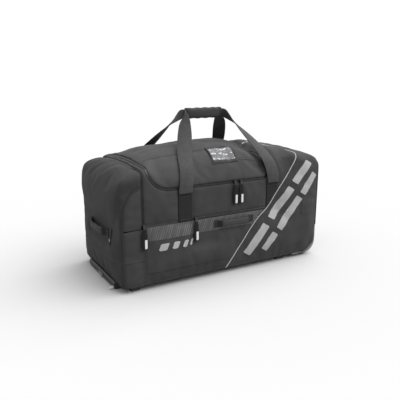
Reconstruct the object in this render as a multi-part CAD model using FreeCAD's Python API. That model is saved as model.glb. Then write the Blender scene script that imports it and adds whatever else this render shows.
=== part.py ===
import FreeCAD, Part
import math
import os

from FreeCAD import Vector

# Wheeled hockey equipment bag, in millimetres. +X points to the wheel end, -Y to the
# printed front side and +Z up. The origin is on the floor, below the middle of the bag.

# Bag body
BAG_L = 810.0            # length of the fabric body
BAG_W = 380.0            # depth of the fabric body
BAG_TOP = 446.0          # highest point of the stuffed lid
BASE_Z = 12.0            # the fabric's lower edge, above the floor
WALL = 6.0               # padded fabric wall
HALF_L, HALF_W = BAG_L / 2, BAG_W / 2
SHOULDER_Z = 345.0       # where the straight sides begin to turn over
KNEE_Y = 120.0           # where the turned-over shoulder meets the crown
KNEE_Z = 433.0
END_SHOULDER_Z = 335.0   # the same turn at the two ends
END_KNEE_DROP = 43.0     # how far the crown falls towards the ends
END_KNEE_X = 50.0
CORNER_R = 50.0          # lower corner at the wheel end
GAP = 1.0                # open seam between a panel that moves and its neighbour
SEAM = 0.5               # half of that seam

# Lid and end pocket
LID_X0, LID_X1 = -316.0, 160.0
LID_Z = 336.0            # lower edge of the lid's front lip
LID_CORNER_R = 78.0
HINGE_Y, HINGE_Z = 150.0, 426.0
POCKET_X = -333.0        # the end pocket's zipper line
POCKET_Z = 212.0         # where the end flap folds
BASE_BOARD_T = 6.0
RAIL_TOP = 26.0
FLOOR_Z = RAIL_TOP + BASE_BOARD_T

# Webbing and handles
WEB_W, WEB_T = 50.0, 3.0
STRAP_X = 178.0          # sewn webbing, either side of the middle
STRAP_Z0, STRAP_Z1 = 216.0, 322.0
LOOP_PIVOT_Z = 324.0
LOOP_CLEAR = 4.5         # the free webbing stands off the lid's lip
GRIP_Z = 552.0
GRIP_HALF = 71.0
GRIP_WEB_H = 28.0        # height of the folded webbing in the grip
GRIP_WALL = 4.0
GRIP_HALF_T = 13.0
GRAB_GAP = 11.0          # finger room behind a grab handle
GRAB_T = 4.0

# Wheels
WHEEL_R, WHEEL_W = 33.0, 26.0
WHEEL_X, WHEEL_Y = 350.0, 163.0
AXLE_R = 4.0
BEARING_R = 11.0
HUB_R = 22.0
RUN_FIT = 0.05           # radial running clearance
HOUSING_X0, HOUSING_Z0, HOUSING_Z1 = 292.0, 7.0, 116.0
HOUSING_IN = 140.0       # inner cheek's inner face, in |y|
HOUSING_EDGE_R = 18.0    # rounding of the housing's outer corner
WELL_R = WHEEL_R + 4.0
WELL_HALF = WHEEL_W / 2 + 2.5
FABRIC_CORNER_R = 96.0   # the fabric's own corner, which shows the housing below it

# Tow handle under the base
TUBE_Y, TUBE_Z = 70.0, 14.0
OUTER_R, OUTER_BORE, INNER_R = 8.0, 6.8, 6.4
TUBE_WALL = 1.2
TUBE_SEAT = 14.0         # how deep the inner tubes sit in the grip
TUBE_X0, TUBE_X1 = -385.0, 255.0
GRIP_BAR_HALF = 128.0
GRIP_BAR_X0, GRIP_BAR_X1 = -411.0, -386.0
GRIP_BAR_Z0, GRIP_BAR_Z1 = 2.0, 26.0
BUTTON_TRAVEL = 3.0

# Zippers
ZIP_W, ZIP_T = 14.0, 1.5
SLIDER_L, SLIDER_H = 9.0, 12.0
SLIDE_FIT = 0.3          # the slider stands this far off its tape
BAIL_Y = 6.4             # the bail pin, in front of the slider's back
PULL_L, PULL_W, PULL_T = 78.0, 11.0, 3.0
LID_ZIP_Z = LID_Z - GAP - SLIDER_H / 2
LID_SLIDER_X = (14.0, 38.0)
POCKET_ZIP_Z = 221.0
POCKET_SLIDER_X = -141.0
END_SLIDER_Z = 222.0

os.makedirs("parts", exist_ok=True)


def save(name, shape):
    shape.exportStep("parts/" + name + ".step")


def box(x0, x1, y0, y1, z0, z1):
    return Part.makeBox(x1 - x0, y1 - y0, z1 - z0, Vector(x0, y0, z0))


def rod(radius, start, direction, length):
    return Part.makeCylinder(radius, length, Vector(*start), Vector(*direction))


def fuse(shapes):
    shapes = list(shapes)
    return shapes[0].multiFuse(shapes[1:]).removeSplitter()


def group(shapes):
    return Part.makeCompound(list(shapes))


def mirror_y(shape):
    return shape.mirror(Vector(0, 0, 0), Vector(0, 1, 0))


def line(a, b):
    return Part.LineSegment(Vector(*a), Vector(*b)).toShape()


def arc(a, b, c):
    return Part.Arc(Vector(*a), Vector(*b), Vector(*c)).toShape()


def prism(edges, direction):
    return Part.Face(Part.Wire(edges)).extrude(Vector(*direction))


def polygon_xz(points, y0, y1):
    """A prism along Y with a straight-sided outline given as (x, z) points."""
    loop = [Vector(x, y0, z) for x, z in points]
    return Part.Face(Part.makePolygon(loop + loop[:1])).extrude(Vector(0, y1 - y0, 0))


def on_arc(centre, radius, degrees):
    a = math.radians(degrees)
    return centre[0] + radius[0] * math.cos(a), centre[1] + radius[1] * math.sin(a)


# ---------------------------------------------------------------- bag body shape


def cross_section(inset):
    """Solid with the bag's section across its depth: flat sides, turned shoulders, a crown."""
    w, k = HALF_W - inset, KNEE_Y
    z0, knee, top = BASE_Z + inset, KNEE_Z - inset, BAG_TOP - inset
    turn_y, turn_z = on_arc((k, SHOULDER_Z), (w - k, knee - SHOULDER_Z), 45)
    x = -HALF_L - 20
    edges = [
        line((x, -w, z0), (x, w, z0)),
        line((x, w, z0), (x, w, SHOULDER_Z)),
        arc((x, w, SHOULDER_Z), (x, turn_y, turn_z), (x, k, knee)),
        arc((x, k, knee), (x, 0, top), (x, -k, knee)),
        arc((x, -k, knee), (x, -turn_y, turn_z), (x, -w, SHOULDER_Z)),
        line((x, -w, SHOULDER_Z), (x, -w, z0)),
    ]
    return prism(edges, (BAG_L + 40, 0, 0))


def long_section(inset):
    """Solid with the bag's outline seen from the front: arched top, rounded wheel corner."""
    h, z0 = HALF_L - inset, BASE_Z + inset
    r = CORNER_R - inset
    knee_x, knee_z = HALF_L - END_KNEE_X, BAG_TOP - END_KNEE_DROP - inset
    turn = on_arc((knee_x, END_SHOULDER_Z), (h - knee_x, knee_z - END_SHOULDER_Z), 45)
    corner = on_arc((h - r, z0 + r), (r, r), -45)
    y = -HALF_W - 20

    def at(point):
        return point[0], y, point[1]

    edges = [
        line(at((-h, z0)), at((h - r, z0))),
        arc(at((h - r, z0)), at(corner), at((h, z0 + r))),
        line(at((h, z0 + r)), at((h, END_SHOULDER_Z))),
        arc(at((h, END_SHOULDER_Z)), at(turn), at((knee_x, knee_z))),
        arc(at((knee_x, knee_z)), at((0, BAG_TOP + 2 - inset)), at((-knee_x, knee_z))),
        arc(at((-knee_x, knee_z)), at((-turn[0], turn[1])), at((-h, END_SHOULDER_Z))),
        line(at((-h, END_SHOULDER_Z)), at((-h, z0))),
    ]
    return prism(edges, (0, BAG_W + 40, 0))


OUTER = cross_section(0).common(long_section(0))
INNER = cross_section(WALL).common(long_section(WALL))
SHELL = OUTER.cut(INNER)
FAR = 600.0


def lid_outline():
    """Prism along Y: the lid seen from the front, with its lower corners rounded."""
    r, y = LID_CORNER_R, -FAR / 2
    left = on_arc((LID_X0 + r, LID_Z + r), (r, r), 225)
    tight = r / 4
    right = on_arc((LID_X1 - tight, LID_Z + tight), (tight, tight), 315)
    edges = [
        line((LID_X0, y, FAR), (LID_X0, y, LID_Z + r)),
        arc((LID_X0, y, LID_Z + r), (left[0], y, left[1]), (LID_X0 + r, y, LID_Z)),
        line((LID_X0 + r, y, LID_Z), (LID_X1 - tight, y, LID_Z)),
        arc((LID_X1 - tight, y, LID_Z), (right[0], y, right[1]), (LID_X1, y, LID_Z + tight)),
        line((LID_X1, y, LID_Z + tight), (LID_X1, y, FAR)),
        line((LID_X1, y, FAR), (LID_X0, y, FAR)),
    ]
    return prism(edges, (0, FAR / 2 + HINGE_Y, 0))


LID_CUT = lid_outline()
LID_HOLE = LID_CUT.makeOffsetShape(GAP, 0.01)


def housing_block(side):
    """The space a wheel housing takes: side is -1 at the front and 1 at the back."""
    y0, y1 = sorted((side * HOUSING_IN, side * HALF_W))
    x_flat = HALF_L - CORNER_R
    mid = on_arc((x_flat, HOUSING_Z0 + CORNER_R), (CORNER_R, CORNER_R), -45)
    corner = [
        line((HOUSING_X0, y0, HOUSING_Z0), (x_flat, y0, HOUSING_Z0)),
        arc((x_flat, y0, HOUSING_Z0), (mid[0], y0, mid[1]), (HALF_L, y0, HOUSING_Z0 + CORNER_R)),
        line((HALF_L, y0, HOUSING_Z0 + CORNER_R), (HALF_L, y0, HOUSING_Z1)),
        line((HALF_L, y0, HOUSING_Z1), (HOUSING_X0, y0, HOUSING_Z1)),
        line((HOUSING_X0, y0, HOUSING_Z1), (HOUSING_X0, y0, HOUSING_Z0)),
    ]
    return prism(corner, (0, y1 - y0, 0))


def round_outer_corner(block, side):
    """The block with the long edge at its outer corner rounded, from the base up the end."""
    def outer(edge):
        b = edge.BoundBox
        flat = abs(b.YMin - side * HALF_W) < 0.1 and abs(b.YMax - side * HALF_W) < 0.1
        return flat and b.XMax > HALF_L - CORNER_R - 0.1 and edge.Length < 2 * CORNER_R

    return block.makeFillet(HOUSING_EDGE_R, [e for e in block.Edges if outer(e)])


def fabric_corner(side):
    """The flat front or back fabric that covers a housing down to a rounded lower corner."""
    y0, y1 = sorted((side * (HALF_W - WALL), side * HALF_W))
    r = FABRIC_CORNER_R
    mid = on_arc((HALF_L - r, BASE_Z + r), (r, r), -45)
    edges = [
        line((HOUSING_X0, y0, BASE_Z), (HALF_L - r, y0, BASE_Z)),
        arc((HALF_L - r, y0, BASE_Z), (mid[0], y0, mid[1]), (HALF_L, y0, BASE_Z + r)),
        line((HALF_L, y0, BASE_Z + r), (HALF_L, y0, FAR)),
        line((HALF_L, y0, FAR), (HOUSING_X0, y0, FAR)),
        line((HOUSING_X0, y0, FAR), (HOUSING_X0, y0, BASE_Z)),
    ]
    return prism(edges, (0, y1 - y0, 0))


HOUSINGS = {side: housing_block(side) for side in (-1, 1)}
RECESS_HALF = GRIP_BAR_HALF + GAP
GRIP_RECESS = box(-FAR, GRIP_BAR_X1 + GAP, -RECESS_HALF, RECESS_HALF, 0, GRIP_BAR_Z1 + GAP)


def side_panel(side):
    """The flat front or back panel, from the pocket's zipper to the wheel end."""
    y0, y1 = sorted((side * (HALF_W - WALL), side * HALF_W))
    top = LID_Z - GAP if side < 0 else SHOULDER_Z
    flat = box(POCKET_X, HALF_L, y0, y1, BASE_Z, top)
    past = box(HOUSING_X0, FAR, -FAR, FAR, 0, FAR)
    flat = fuse([flat.cut(past), flat.common(fabric_corner(side))])
    return flat.common(OUTER)


def build_fabric_body():
    save("front_panel", side_panel(-1))
    save("back_panel", side_panel(1))

    top = SHELL.common(box(POCKET_X, FAR, -HALF_W, HALF_W, LID_Z - GAP, FAR))
    back_panel_zone = box(-FAR, FAR, HALF_W - WALL, HALF_W, 0, SHOULDER_Z)
    inner_x = HALF_L - WALL
    top = top.cut(back_panel_zone).cut(LID_HOLE)
    save("top_left_panel", top.common(box(-FAR, LID_X0 - GAP, -FAR, HINGE_Y, 0, FAR)))
    save("back_yoke", top.common(box(-FAR, LID_X1 + GAP, HINGE_Y, FAR, 0, FAR)))
    front_corners = top.common(box(LID_X0 - GAP, LID_X1 + GAP, -FAR, 0, 0, FAR))
    save("lid_surround", front_corners)
    right = top.common(box(LID_X1 + GAP, inner_x, -FAR, FAR, 0, FAR))
    save("top_right_panel", right)

    # The end panel wraps under the rounded lower corner and stops at the housings.
    x_flat, y_in, split_z = HALF_L - CORNER_R, HALF_W - WALL, LID_Z - GAP
    wrap = SHELL.common(box(x_flat, FAR, -y_in, y_in, 0, BASE_Z + CORNER_R))
    flat = SHELL.common(box(inner_x, FAR, -y_in, y_in, BASE_Z + CORNER_R, split_z))
    upper = SHELL.common(box(inner_x, FAR, -FAR, FAR, split_z, FAR)).cut(back_panel_zone)
    end = fuse([wrap, flat, upper])
    for block in HOUSINGS.values():
        end = end.cut(block)
    save("wheel_end_panel", end)

    base = box(-HALF_L + WALL, x_flat, -y_in, y_in, BASE_Z, BASE_Z + WALL)
    for block in HOUSINGS.values():
        base = base.cut(block)
    for y in (-TUBE_Y, TUBE_Y):
        base = base.cut(rail_block(y))
    save("base_panel", base.cut(GRIP_RECESS))

    board_x1 = HOUSING_X0 - 4
    save("base_board", box(-HALF_L + WALL + 20, board_x1, -y_in, y_in, RAIL_TOP, FLOOR_Z))

    divider = box(POCKET_X - WALL, POCKET_X, -y_in, y_in, FLOOR_Z, FAR)
    save("inner_end_wall", divider.common(INNER))


def build_end_pocket():
    edge = POCKET_X - GAP
    flap = SHELL.common(box(-FAR, edge, -FAR, FAR, POCKET_Z + SEAM, FAR))
    face_zone = box(-FAR, -HALF_L + WALL, -FAR, FAR, 0, FAR)
    save("end_flap_face", flap.common(face_zone))
    save("end_flap_gusset", flap.cut(face_zone))

    low = box(-HALF_L, -HALF_L + WALL, -HALF_W, HALF_W, BASE_Z, POCKET_Z - SEAM)
    save("end_lower_face", low.cut(GRIP_RECESS))
    gussets = []
    for side in (-1, 1):
        y0, y1 = sorted((side * (HALF_W - WALL), side * HALF_W))
        gussets.append(box(-HALF_L + WALL, POCKET_X, y0, y1, BASE_Z, POCKET_Z - SEAM))
    save("end_lower_gussets", group(gussets))


def build_lid():
    lid = SHELL.common(LID_CUT)
    save("lid_panel", lid.cut(box(-FAR, FAR, HINGE_Y - SEAM, FAR, 0, FAR)))

    # Card window: a clear pocket on the lid, with its frame and a card inside.
    x0, x1, y0, y1 = -64.0, 42.0, -176.0, -116.0
    rim, lift = 8.0, 2.4
    top = cross_section(-lift).cut(cross_section(0))
    frame = top.common(box(x0, x1, y0, y1, LID_Z, FAR))
    hole = box(x0 + rim, x1 - rim, y0 + rim, y1 - rim, LID_Z, FAR)
    save("card_frame", frame.cut(hole))
    card = cross_section(-0.8).cut(cross_section(0)).common(hole)
    save("name_card", card)
    window = cross_section(-1.6).cut(cross_section(-0.8)).common(hole)
    save("card_window", window)


# ---------------------------------------------------------------- webbing and handles


def strip_section(centre, across, through):
    c, a, t = Vector(*centre), Vector(*across), Vector(*through)
    corners = [c - a - t, c + a - t, c + a + t, c - a + t]
    return Part.makePolygon(corners + corners[:1])


def carry_loop(side):
    """One carry strap: two legs that lean in over the lid and meet in the grip."""
    face = HALF_W + WEB_T / 2
    hw, ht = WEB_W / 2, WEB_T / 2
    top_y = 0.4 + ht
    legs = []
    for end in (-1, 1):
        stations = [
            (STRAP_X, face + LOOP_CLEAR, LOOP_PIVOT_Z + 1),
            (STRAP_X - 6, face + LOOP_CLEAR + 1, 385.0),
            (STRAP_X - 26, 160.0, 446.0),
            (STRAP_X - 70, 82.0, 505.0),
        ]
        sections = []
        for i, (x, y, z) in enumerate(stations):
            turn = math.radians((0, 0, 22, 50)[i])
            across = (end * hw * math.cos(turn), 0, hw * math.sin(turn) * GRIP_WEB_H / WEB_W)
            lean = math.radians((0, 8, 48, 50)[i])
            through = (0, side * ht * math.cos(lean), ht * math.sin(lean))
            sections.append(strip_section((end * x, side * y, z), across, through))
        top = (end * (GRIP_HALF + 4), side * top_y, GRIP_Z)
        sections.append(strip_section(top, (0, 0, GRIP_WEB_H / 2), (0, side * ht, 0)))
        legs.append(Part.makeLoft(sections, True, True))
    y0, y1 = sorted((side * 0.4, side * (0.4 + WEB_T)))
    reach = GRIP_HALF + 5
    top = box(-reach, reach, y0, y1, GRIP_Z - GRIP_WEB_H / 2, GRIP_Z + GRIP_WEB_H / 2)
    return legs, top


def build_carry_handles():
    for side, name in ((-1, "front"), (1, "back")):
        legs, top = carry_loop(side)
        save(name + "_carry_strap", fuse(legs + [top]))
        y0, y1 = sorted((side * HALF_W, side * (HALF_W + WEB_T)))
        sewn = [
            box(s * STRAP_X - WEB_W / 2, s * STRAP_X + WEB_W / 2, y0, y1, STRAP_Z0, STRAP_Z1)
            for s in (-1, 1)
        ]
        save(name + "_sewn_webbing", group(sewn))

    half_h = GRIP_WEB_H / 2 + 1
    z0, z1 = GRIP_Z - half_h - GRIP_WALL, GRIP_Z + half_h + GRIP_WALL
    outer = box(-GRIP_HALF, GRIP_HALF, -GRIP_HALF_T, GRIP_HALF_T, z0, z1)
    long_edges = [e for e in outer.Edges if abs(e.tangentAt(0).x) > 0.9]
    outer = outer.makeFillet(5.0, long_edges)
    mouth = box(-FAR, FAR, -0.4 - WEB_T, FAR, GRIP_Z - half_h, GRIP_Z + half_h)
    save("handle_wrap", outer.cut(mouth))


def grab_handle(length, height):
    """A short padded handle lying along X on a wall at y = 0, standing out to -Y."""
    h, tab = height / 2, 26.0
    out = -GRAB_GAP - GRAB_T
    half = length / 2
    bar = box(-half + tab, half - tab, out, -GRAB_GAP, -h, h)
    ends = []
    for end in (-1, 1):
        x = end * (half - tab)
        far = end * half
        edges = [
            line((x, out, -h), (x, -GRAB_GAP, -h)),
            line((x, -GRAB_GAP, -h), (far - end * 6, 0, -h)),
            line((far - end * 6, 0, -h), (far, 0, -h)),
            line((far, 0, -h), (far, -GRAB_T, -h)),
            line((far, -GRAB_T, -h), (x, out, -h)),
        ]
        ends.append(prism(edges, (0, 0, height)))
    return fuse([bar] + ends)


def build_grab_handles():
    front = grab_handle(160.0, 26.0)
    front.translate(Vector(12, -HALF_W - WEB_T, 191))
    save("front_grab_handle", front)
    end = grab_handle(170.0, 30.0)
    left = end.copy()
    left.rotate(Vector(0, 0, 0), Vector(0, 0, 1), -90)
    left.translate(Vector(-HALF_L, 0, 184))
    save("end_grab_handle", left)
    right = end.copy()
    right.rotate(Vector(0, 0, 0), Vector(0, 0, 1), 90)
    right.translate(Vector(HALF_L, 0, 226))
    save("wheel_end_grab_handle", right)


# ---------------------------------------------------------------- front pocket and zippers


def build_front_pocket():
    y0 = -HALF_W - WEB_T
    tape_z = (POCKET_ZIP_Z - ZIP_W / 2, POCKET_ZIP_Z + ZIP_W / 2)
    outline = [(-318, 60), (30, 60), (162, tape_z[0]), (-318, tape_z[0])]
    save("front_pocket_panel", polygon_xz(outline, y0, -HALF_W))
    tape = box(-STRAP_X + 26, STRAP_X - 27, -HALF_W - ZIP_T, -HALF_W, *tape_z)
    save("pocket_zip_tape", tape)


def build_zip_tapes():
    x0, x1 = LID_X0 + LID_CORNER_R, LID_X1 - LID_CORNER_R / 4
    tape = box(x0, x1, -HALF_W - ZIP_T, -HALF_W, LID_Z - GAP - ZIP_W / 2, LID_Z - GAP)
    for s in (-1, 1):
        tape = tape.cut(box(s * STRAP_X - 26, s * STRAP_X + 26, -FAR, 0, 0, FAR))
    save("lid_zip_tape", tape)
    x0 = POCKET_X + SEAM
    end = box(x0, x0 + ZIP_W / 2, -HALF_W - ZIP_T, -HALF_W, POCKET_Z, END_SHOULDER_Z - 5)
    save("end_zip_tape", end)


def slider():
    """A zipper slider with its bail, standing out to -Y from a plane at y = 0."""
    half_l, half_h = SLIDER_L / 2, SLIDER_H / 2
    body = box(-half_l, half_l, -4.0, 0, -half_h, half_h)
    cheeks = [
        box(x - 0.8, x + 0.8, -BAIL_Y - 1.6, -4.0, -3, 3) for x in (-half_l + 0.8, half_l - 0.8)
    ]
    pin = rod(0.9, (-half_l, -BAIL_Y, 0), (1, 0, 0), SLIDER_L)
    return fuse([body] + cheeks + [pin])


def puller():
    """A moulded pull tab hanging from the slider's bail pin at the origin."""
    eye = rod(2.3, (-2.4, 0, 0), (1, 0, 0), 4.8).cut(rod(1.2, (-3, 0, 0), (1, 0, 0), 6))
    neck = box(-2.4, 2.4, -PULL_T / 2, PULL_T / 2, -9, -1.9)
    tab = box(-PULL_W / 2, PULL_W / 2, -PULL_T / 2, PULL_T / 2, -PULL_L, -9)
    corners = [e for e in tab.Edges if abs(e.tangentAt(0).y) > 0.9]
    return fuse([eye, neck, tab.makeFillet(3.0, corners)])


def build_sliders():
    y = -HALF_W - ZIP_T - SLIDE_FIT
    places = {
        "lid_slider_left": (LID_SLIDER_X[0], LID_ZIP_Z),
        "lid_slider_right": (LID_SLIDER_X[1], LID_ZIP_Z),
        "pocket_slider": (POCKET_SLIDER_X, POCKET_ZIP_Z),
        "end_slider": (POCKET_X + SEAM + SLIDER_L / 2, END_SLIDER_Z),
    }
    for name, (x, z) in places.items():
        body = slider()
        body.translate(Vector(x, y, z))
        save(name, body)
        tab = puller()
        tab.translate(Vector(x, y - BAIL_Y, z))
        save(name.replace("slider", "puller"), tab)


# ---------------------------------------------------------------- wheels and housings


def build_wheels():
    for side, name in ((-1, "front"), (1, "back")):
        yc = side * WHEEL_Y
        half = WHEEL_W / 2
        tyre = rod(WHEEL_R, (WHEEL_X, yc - half, WHEEL_R), (0, 1, 0), WHEEL_W)
        round_over = [e for e in tyre.Edges if isinstance(e.Curve, Part.Circle)]
        tyre = tyre.makeFillet(7.0, round_over)
        tyre = tyre.cut(rod(HUB_R, (WHEEL_X, yc - half, WHEEL_R), (0, 1, 0), WHEEL_W))
        save("wheel_tyre_" + name, tyre)
        hub = rod(HUB_R, (WHEEL_X, yc - half + 1, WHEEL_R), (0, 1, 0), WHEEL_W - 2)
        hub = hub.cut(rod(BEARING_R, (WHEEL_X, yc - half, WHEEL_R), (0, 1, 0), WHEEL_W))
        core = rod(BEARING_R, (WHEEL_X, yc - 4, WHEEL_R), (0, 1, 0), 8)
        core = core.cut(rod(AXLE_R + 1.5, (WHEEL_X, yc - 4, WHEEL_R), (0, 1, 0), 8))
        windows = []
        for i in range(5):
            x, z = on_arc((WHEEL_X, WHEEL_R), (16.5, 16.5), 90 + 72 * i)
            windows.append(rod(3.6, (x, yc - half, z), (0, 1, 0), WHEEL_W))
        save("wheel_hub_" + name, fuse([hub, core]).cut(Part.makeCompound(windows)))
        bearings = []
        for y0 in (yc - 11, yc + 4):
            ring = rod(BEARING_R, (WHEEL_X, y0, WHEEL_R), (0, 1, 0), 7)
            bearings.append(ring.cut(rod(AXLE_R + RUN_FIT, (WHEEL_X, y0, WHEEL_R), (0, 1, 0), 7)))
        save("wheel_bearings_" + name, group(bearings))
        inner, outer = sorted((side * (HOUSING_IN + 2), side * (HALF_W - WALL - 1)))
        axle = rod(AXLE_R, (WHEEL_X, inner, WHEEL_R), (0, 1, 0), outer - inner)
        save("wheel_axle_" + name, axle)

        body = round_outer_corner(HOUSINGS[side], side)
        y0, y1 = yc - WELL_HALF, yc + WELL_HALF
        well = rod(WELL_R, (WHEEL_X, y0, WHEEL_R), (0, 1, 0), y1 - y0)
        well = fuse([well, box(WHEEL_X - WELL_R, WHEEL_X + WELL_R, y0, y1, 0, WHEEL_R)])
        body = body.cut(well).cut(fabric_corner(side)).cut(axle)
        far_y = side * (HALF_W - WALL)
        fy0, fy1 = sorted((far_y, side * HALF_W))
        body = body.cut(box(HOUSING_X0, HALF_L - FABRIC_CORNER_R, fy0, fy1, BASE_Z, FAR))
        save("wheel_housing_" + name, body)


def build_feet():
    foot = box(-16, 16, -9, 9, 0, BASE_Z)
    foot = foot.makeFillet(3.0, [e for e in foot.Edges if abs(e.tangentAt(0).z) > 0.9])
    feet = []
    for x in (-352.0, 243.0):
        for y in (-160.0, 160.0):
            copy = foot.copy()
            copy.translate(Vector(x, y, 0))
            feet.append(copy)
    save("skid_feet", group(feet))


# ---------------------------------------------------------------- tow handle


def rail_block(y):
    return box(TUBE_X0, TUBE_X1, y - 12, y + 12, GRIP_BAR_Z0, RAIL_TOP)


def build_tow_handle():
    rails, outers, inners, blocks = [], [], [], []
    for y in (-TUBE_Y, TUBE_Y):
        start = (TUBE_X0, y, TUBE_Z)
        length = TUBE_X1 - TUBE_X0
        rails.append(rail_block(y).cut(rod(OUTER_R, start, (1, 0, 0), length)))
        tube = rod(OUTER_R, start, (1, 0, 0), length - 12)
        outers.append(tube.cut(rod(OUTER_BORE, start, (1, 0, 0), length)))
        blocks.append(rod(OUTER_R, (TUBE_X1 - 12, y, TUBE_Z), (1, 0, 0), 12))
        reach = TUBE_X1 - 16 - GRIP_BAR_X1
        foot = (GRIP_BAR_X1 - TUBE_SEAT, y, TUBE_Z)
        inner = rod(INNER_R, foot, (1, 0, 0), reach + TUBE_SEAT)
        inners.append(inner.cut(rod(INNER_R - TUBE_WALL, foot, (1, 0, 0), reach + TUBE_SEAT)))
    save("tow_rails", group(rails))
    save("tow_outer_tubes", group(outers))
    save("tow_end_plugs", group(blocks))
    save("tow_inner_tubes", group(inners))

    bar = box(GRIP_BAR_X0, GRIP_BAR_X1, -GRIP_BAR_HALF, GRIP_BAR_HALF, GRIP_BAR_Z0, GRIP_BAR_Z1)
    bar = bar.makeFillet(6.0, [e for e in bar.Edges if abs(e.tangentAt(0).y) > 0.9])
    for y in (-TUBE_Y, TUBE_Y):
        bar = bar.cut(rod(INNER_R, (GRIP_BAR_X1 - TUBE_SEAT, y, TUBE_Z), (1, 0, 0), TUBE_SEAT))
    well_end = GRIP_BAR_X0 + 16
    pocket = box(GRIP_BAR_X0, well_end, -18, 18, TUBE_Z - 6, TUBE_Z + 6)
    save("tow_grip", bar.cut(pocket))
    inner_face = well_end - BUTTON_TRAVEL - 2
    button = box(GRIP_BAR_X0 - BUTTON_TRAVEL, inner_face, -17.6, 17.6, TUBE_Z - 5.6, TUBE_Z + 5.6)
    spring_r, seat = 3.0, 8.0
    socket = rod(spring_r + 0.4, (inner_face - seat, 0, TUBE_Z), (1, 0, 0), seat)
    save("tow_button", button.cut(socket))
    start = (inner_face - seat + BUTTON_TRAVEL + 0.5, 0, TUBE_Z)
    length = well_end - start[0]
    spring = rod(spring_r, start, (1, 0, 0), length).cut(rod(spring_r - 1, start, (1, 0, 0), length))
    save("tow_button_spring", spring)
    tab_y = -GRIP_BAR_HALF + 8
    tab = box(GRIP_BAR_X0 - 14, GRIP_BAR_X0, tab_y - 5, tab_y + 5, TUBE_Z - 7, TUBE_Z - 4.5)
    save("tow_pull_tab", tab)


def build_hardware():
    """Screws that hold each wheel housing, and rivets through the base board into the rails."""
    screws = []
    for side in (-1, 1):
        for x, z in ((HALF_L - 12, 100.0), (HOUSING_X0 + 12, 100.0)):
            inner = side * HOUSING_IN
            start = (x - (0 if x < 350 else 6), inner, z)
            screws.append(rod(4.0, start, (0, -side, 0), 2.0))
    save("housing_screws", group(screws))
    rivets = []
    for x in (-318.0, -110.0, 110.0, 245.0):
        for y in (-TUBE_Y, TUBE_Y):
            rivets.append(rod(5.0, (x, y, FLOOR_Z), (0, 0, 1), 1.6))
    save("base_rivets", group(rivets))


build_fabric_body()
build_end_pocket()
build_lid()
build_carry_handles()
build_grab_handles()
build_front_pocket()
build_zip_tapes()
build_sliders()
build_wheels()
build_feet()
build_tow_handle()
build_hardware()
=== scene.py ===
import itertools
import math

import bpy
import numpy as np
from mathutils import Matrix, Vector


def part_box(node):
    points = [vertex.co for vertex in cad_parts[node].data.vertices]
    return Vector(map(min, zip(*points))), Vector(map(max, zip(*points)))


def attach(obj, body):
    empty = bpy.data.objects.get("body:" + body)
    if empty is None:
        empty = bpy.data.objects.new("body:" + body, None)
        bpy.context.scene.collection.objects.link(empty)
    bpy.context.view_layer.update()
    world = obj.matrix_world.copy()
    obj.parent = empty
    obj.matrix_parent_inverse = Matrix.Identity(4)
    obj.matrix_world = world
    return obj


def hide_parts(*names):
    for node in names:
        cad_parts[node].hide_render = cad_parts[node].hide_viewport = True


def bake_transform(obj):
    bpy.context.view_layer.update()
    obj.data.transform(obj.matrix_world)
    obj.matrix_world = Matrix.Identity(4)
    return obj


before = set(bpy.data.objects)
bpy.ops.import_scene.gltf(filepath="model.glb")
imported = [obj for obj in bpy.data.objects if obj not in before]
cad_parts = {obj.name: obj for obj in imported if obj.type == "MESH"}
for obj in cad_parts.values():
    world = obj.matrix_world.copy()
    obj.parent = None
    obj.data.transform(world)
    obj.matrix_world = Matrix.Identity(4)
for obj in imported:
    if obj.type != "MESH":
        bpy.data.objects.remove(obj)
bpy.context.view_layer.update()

# Wheeled hockey bag. Lengths are in metres in the frame's own axes: +X to the wheel end,
# -Y to the printed front, +Z up. The fabric is one closed skin, filled by a cloth
# simulation, and every panel, tape, band and seam is cut from that skin.


def low(node):
    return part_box(node)[0]


def high(node):
    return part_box(node)[1]


def middle_of(node):
    return (low(node) + high(node)) / 2


# ---- places read off the frame

HALF_L = high("wheel_end_panel").x
HALF_W = high("back_panel").y
BASE = low("base_panel").z
TOP = high("lid_panel").z
SHOULDER = high("back_panel").z
HINGE_Y = high("lid_panel").y
FOLD_Z = low("end_flap_face").z
LID_ZIP_Z = middle_of("lid_slider_left").z + 0.001
LID_X0, LID_X1 = low("lid_panel").x + 0.006, high("lid_panel").x + 0.003
END_ZIP_X = middle_of("end_slider").x - 0.002
POCKET_ZIP_Z = middle_of("pocket_slider").z
POCKET_LO, POCKET_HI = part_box("front_pocket_panel")
HOUSING_LO, HOUSING_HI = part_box("wheel_housing_back")
STRAP_LO, STRAP_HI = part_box("front_sewn_webbing")
STRAP_W = 0.050
STRAP_X = STRAP_HI.x - STRAP_W / 2
GRIP_LO, GRIP_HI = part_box("handle_wrap")
GRIP_Z = (GRIP_LO.z + GRIP_HI.z) / 2
TOW_LO, TOW_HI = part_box("tow_grip")

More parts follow.
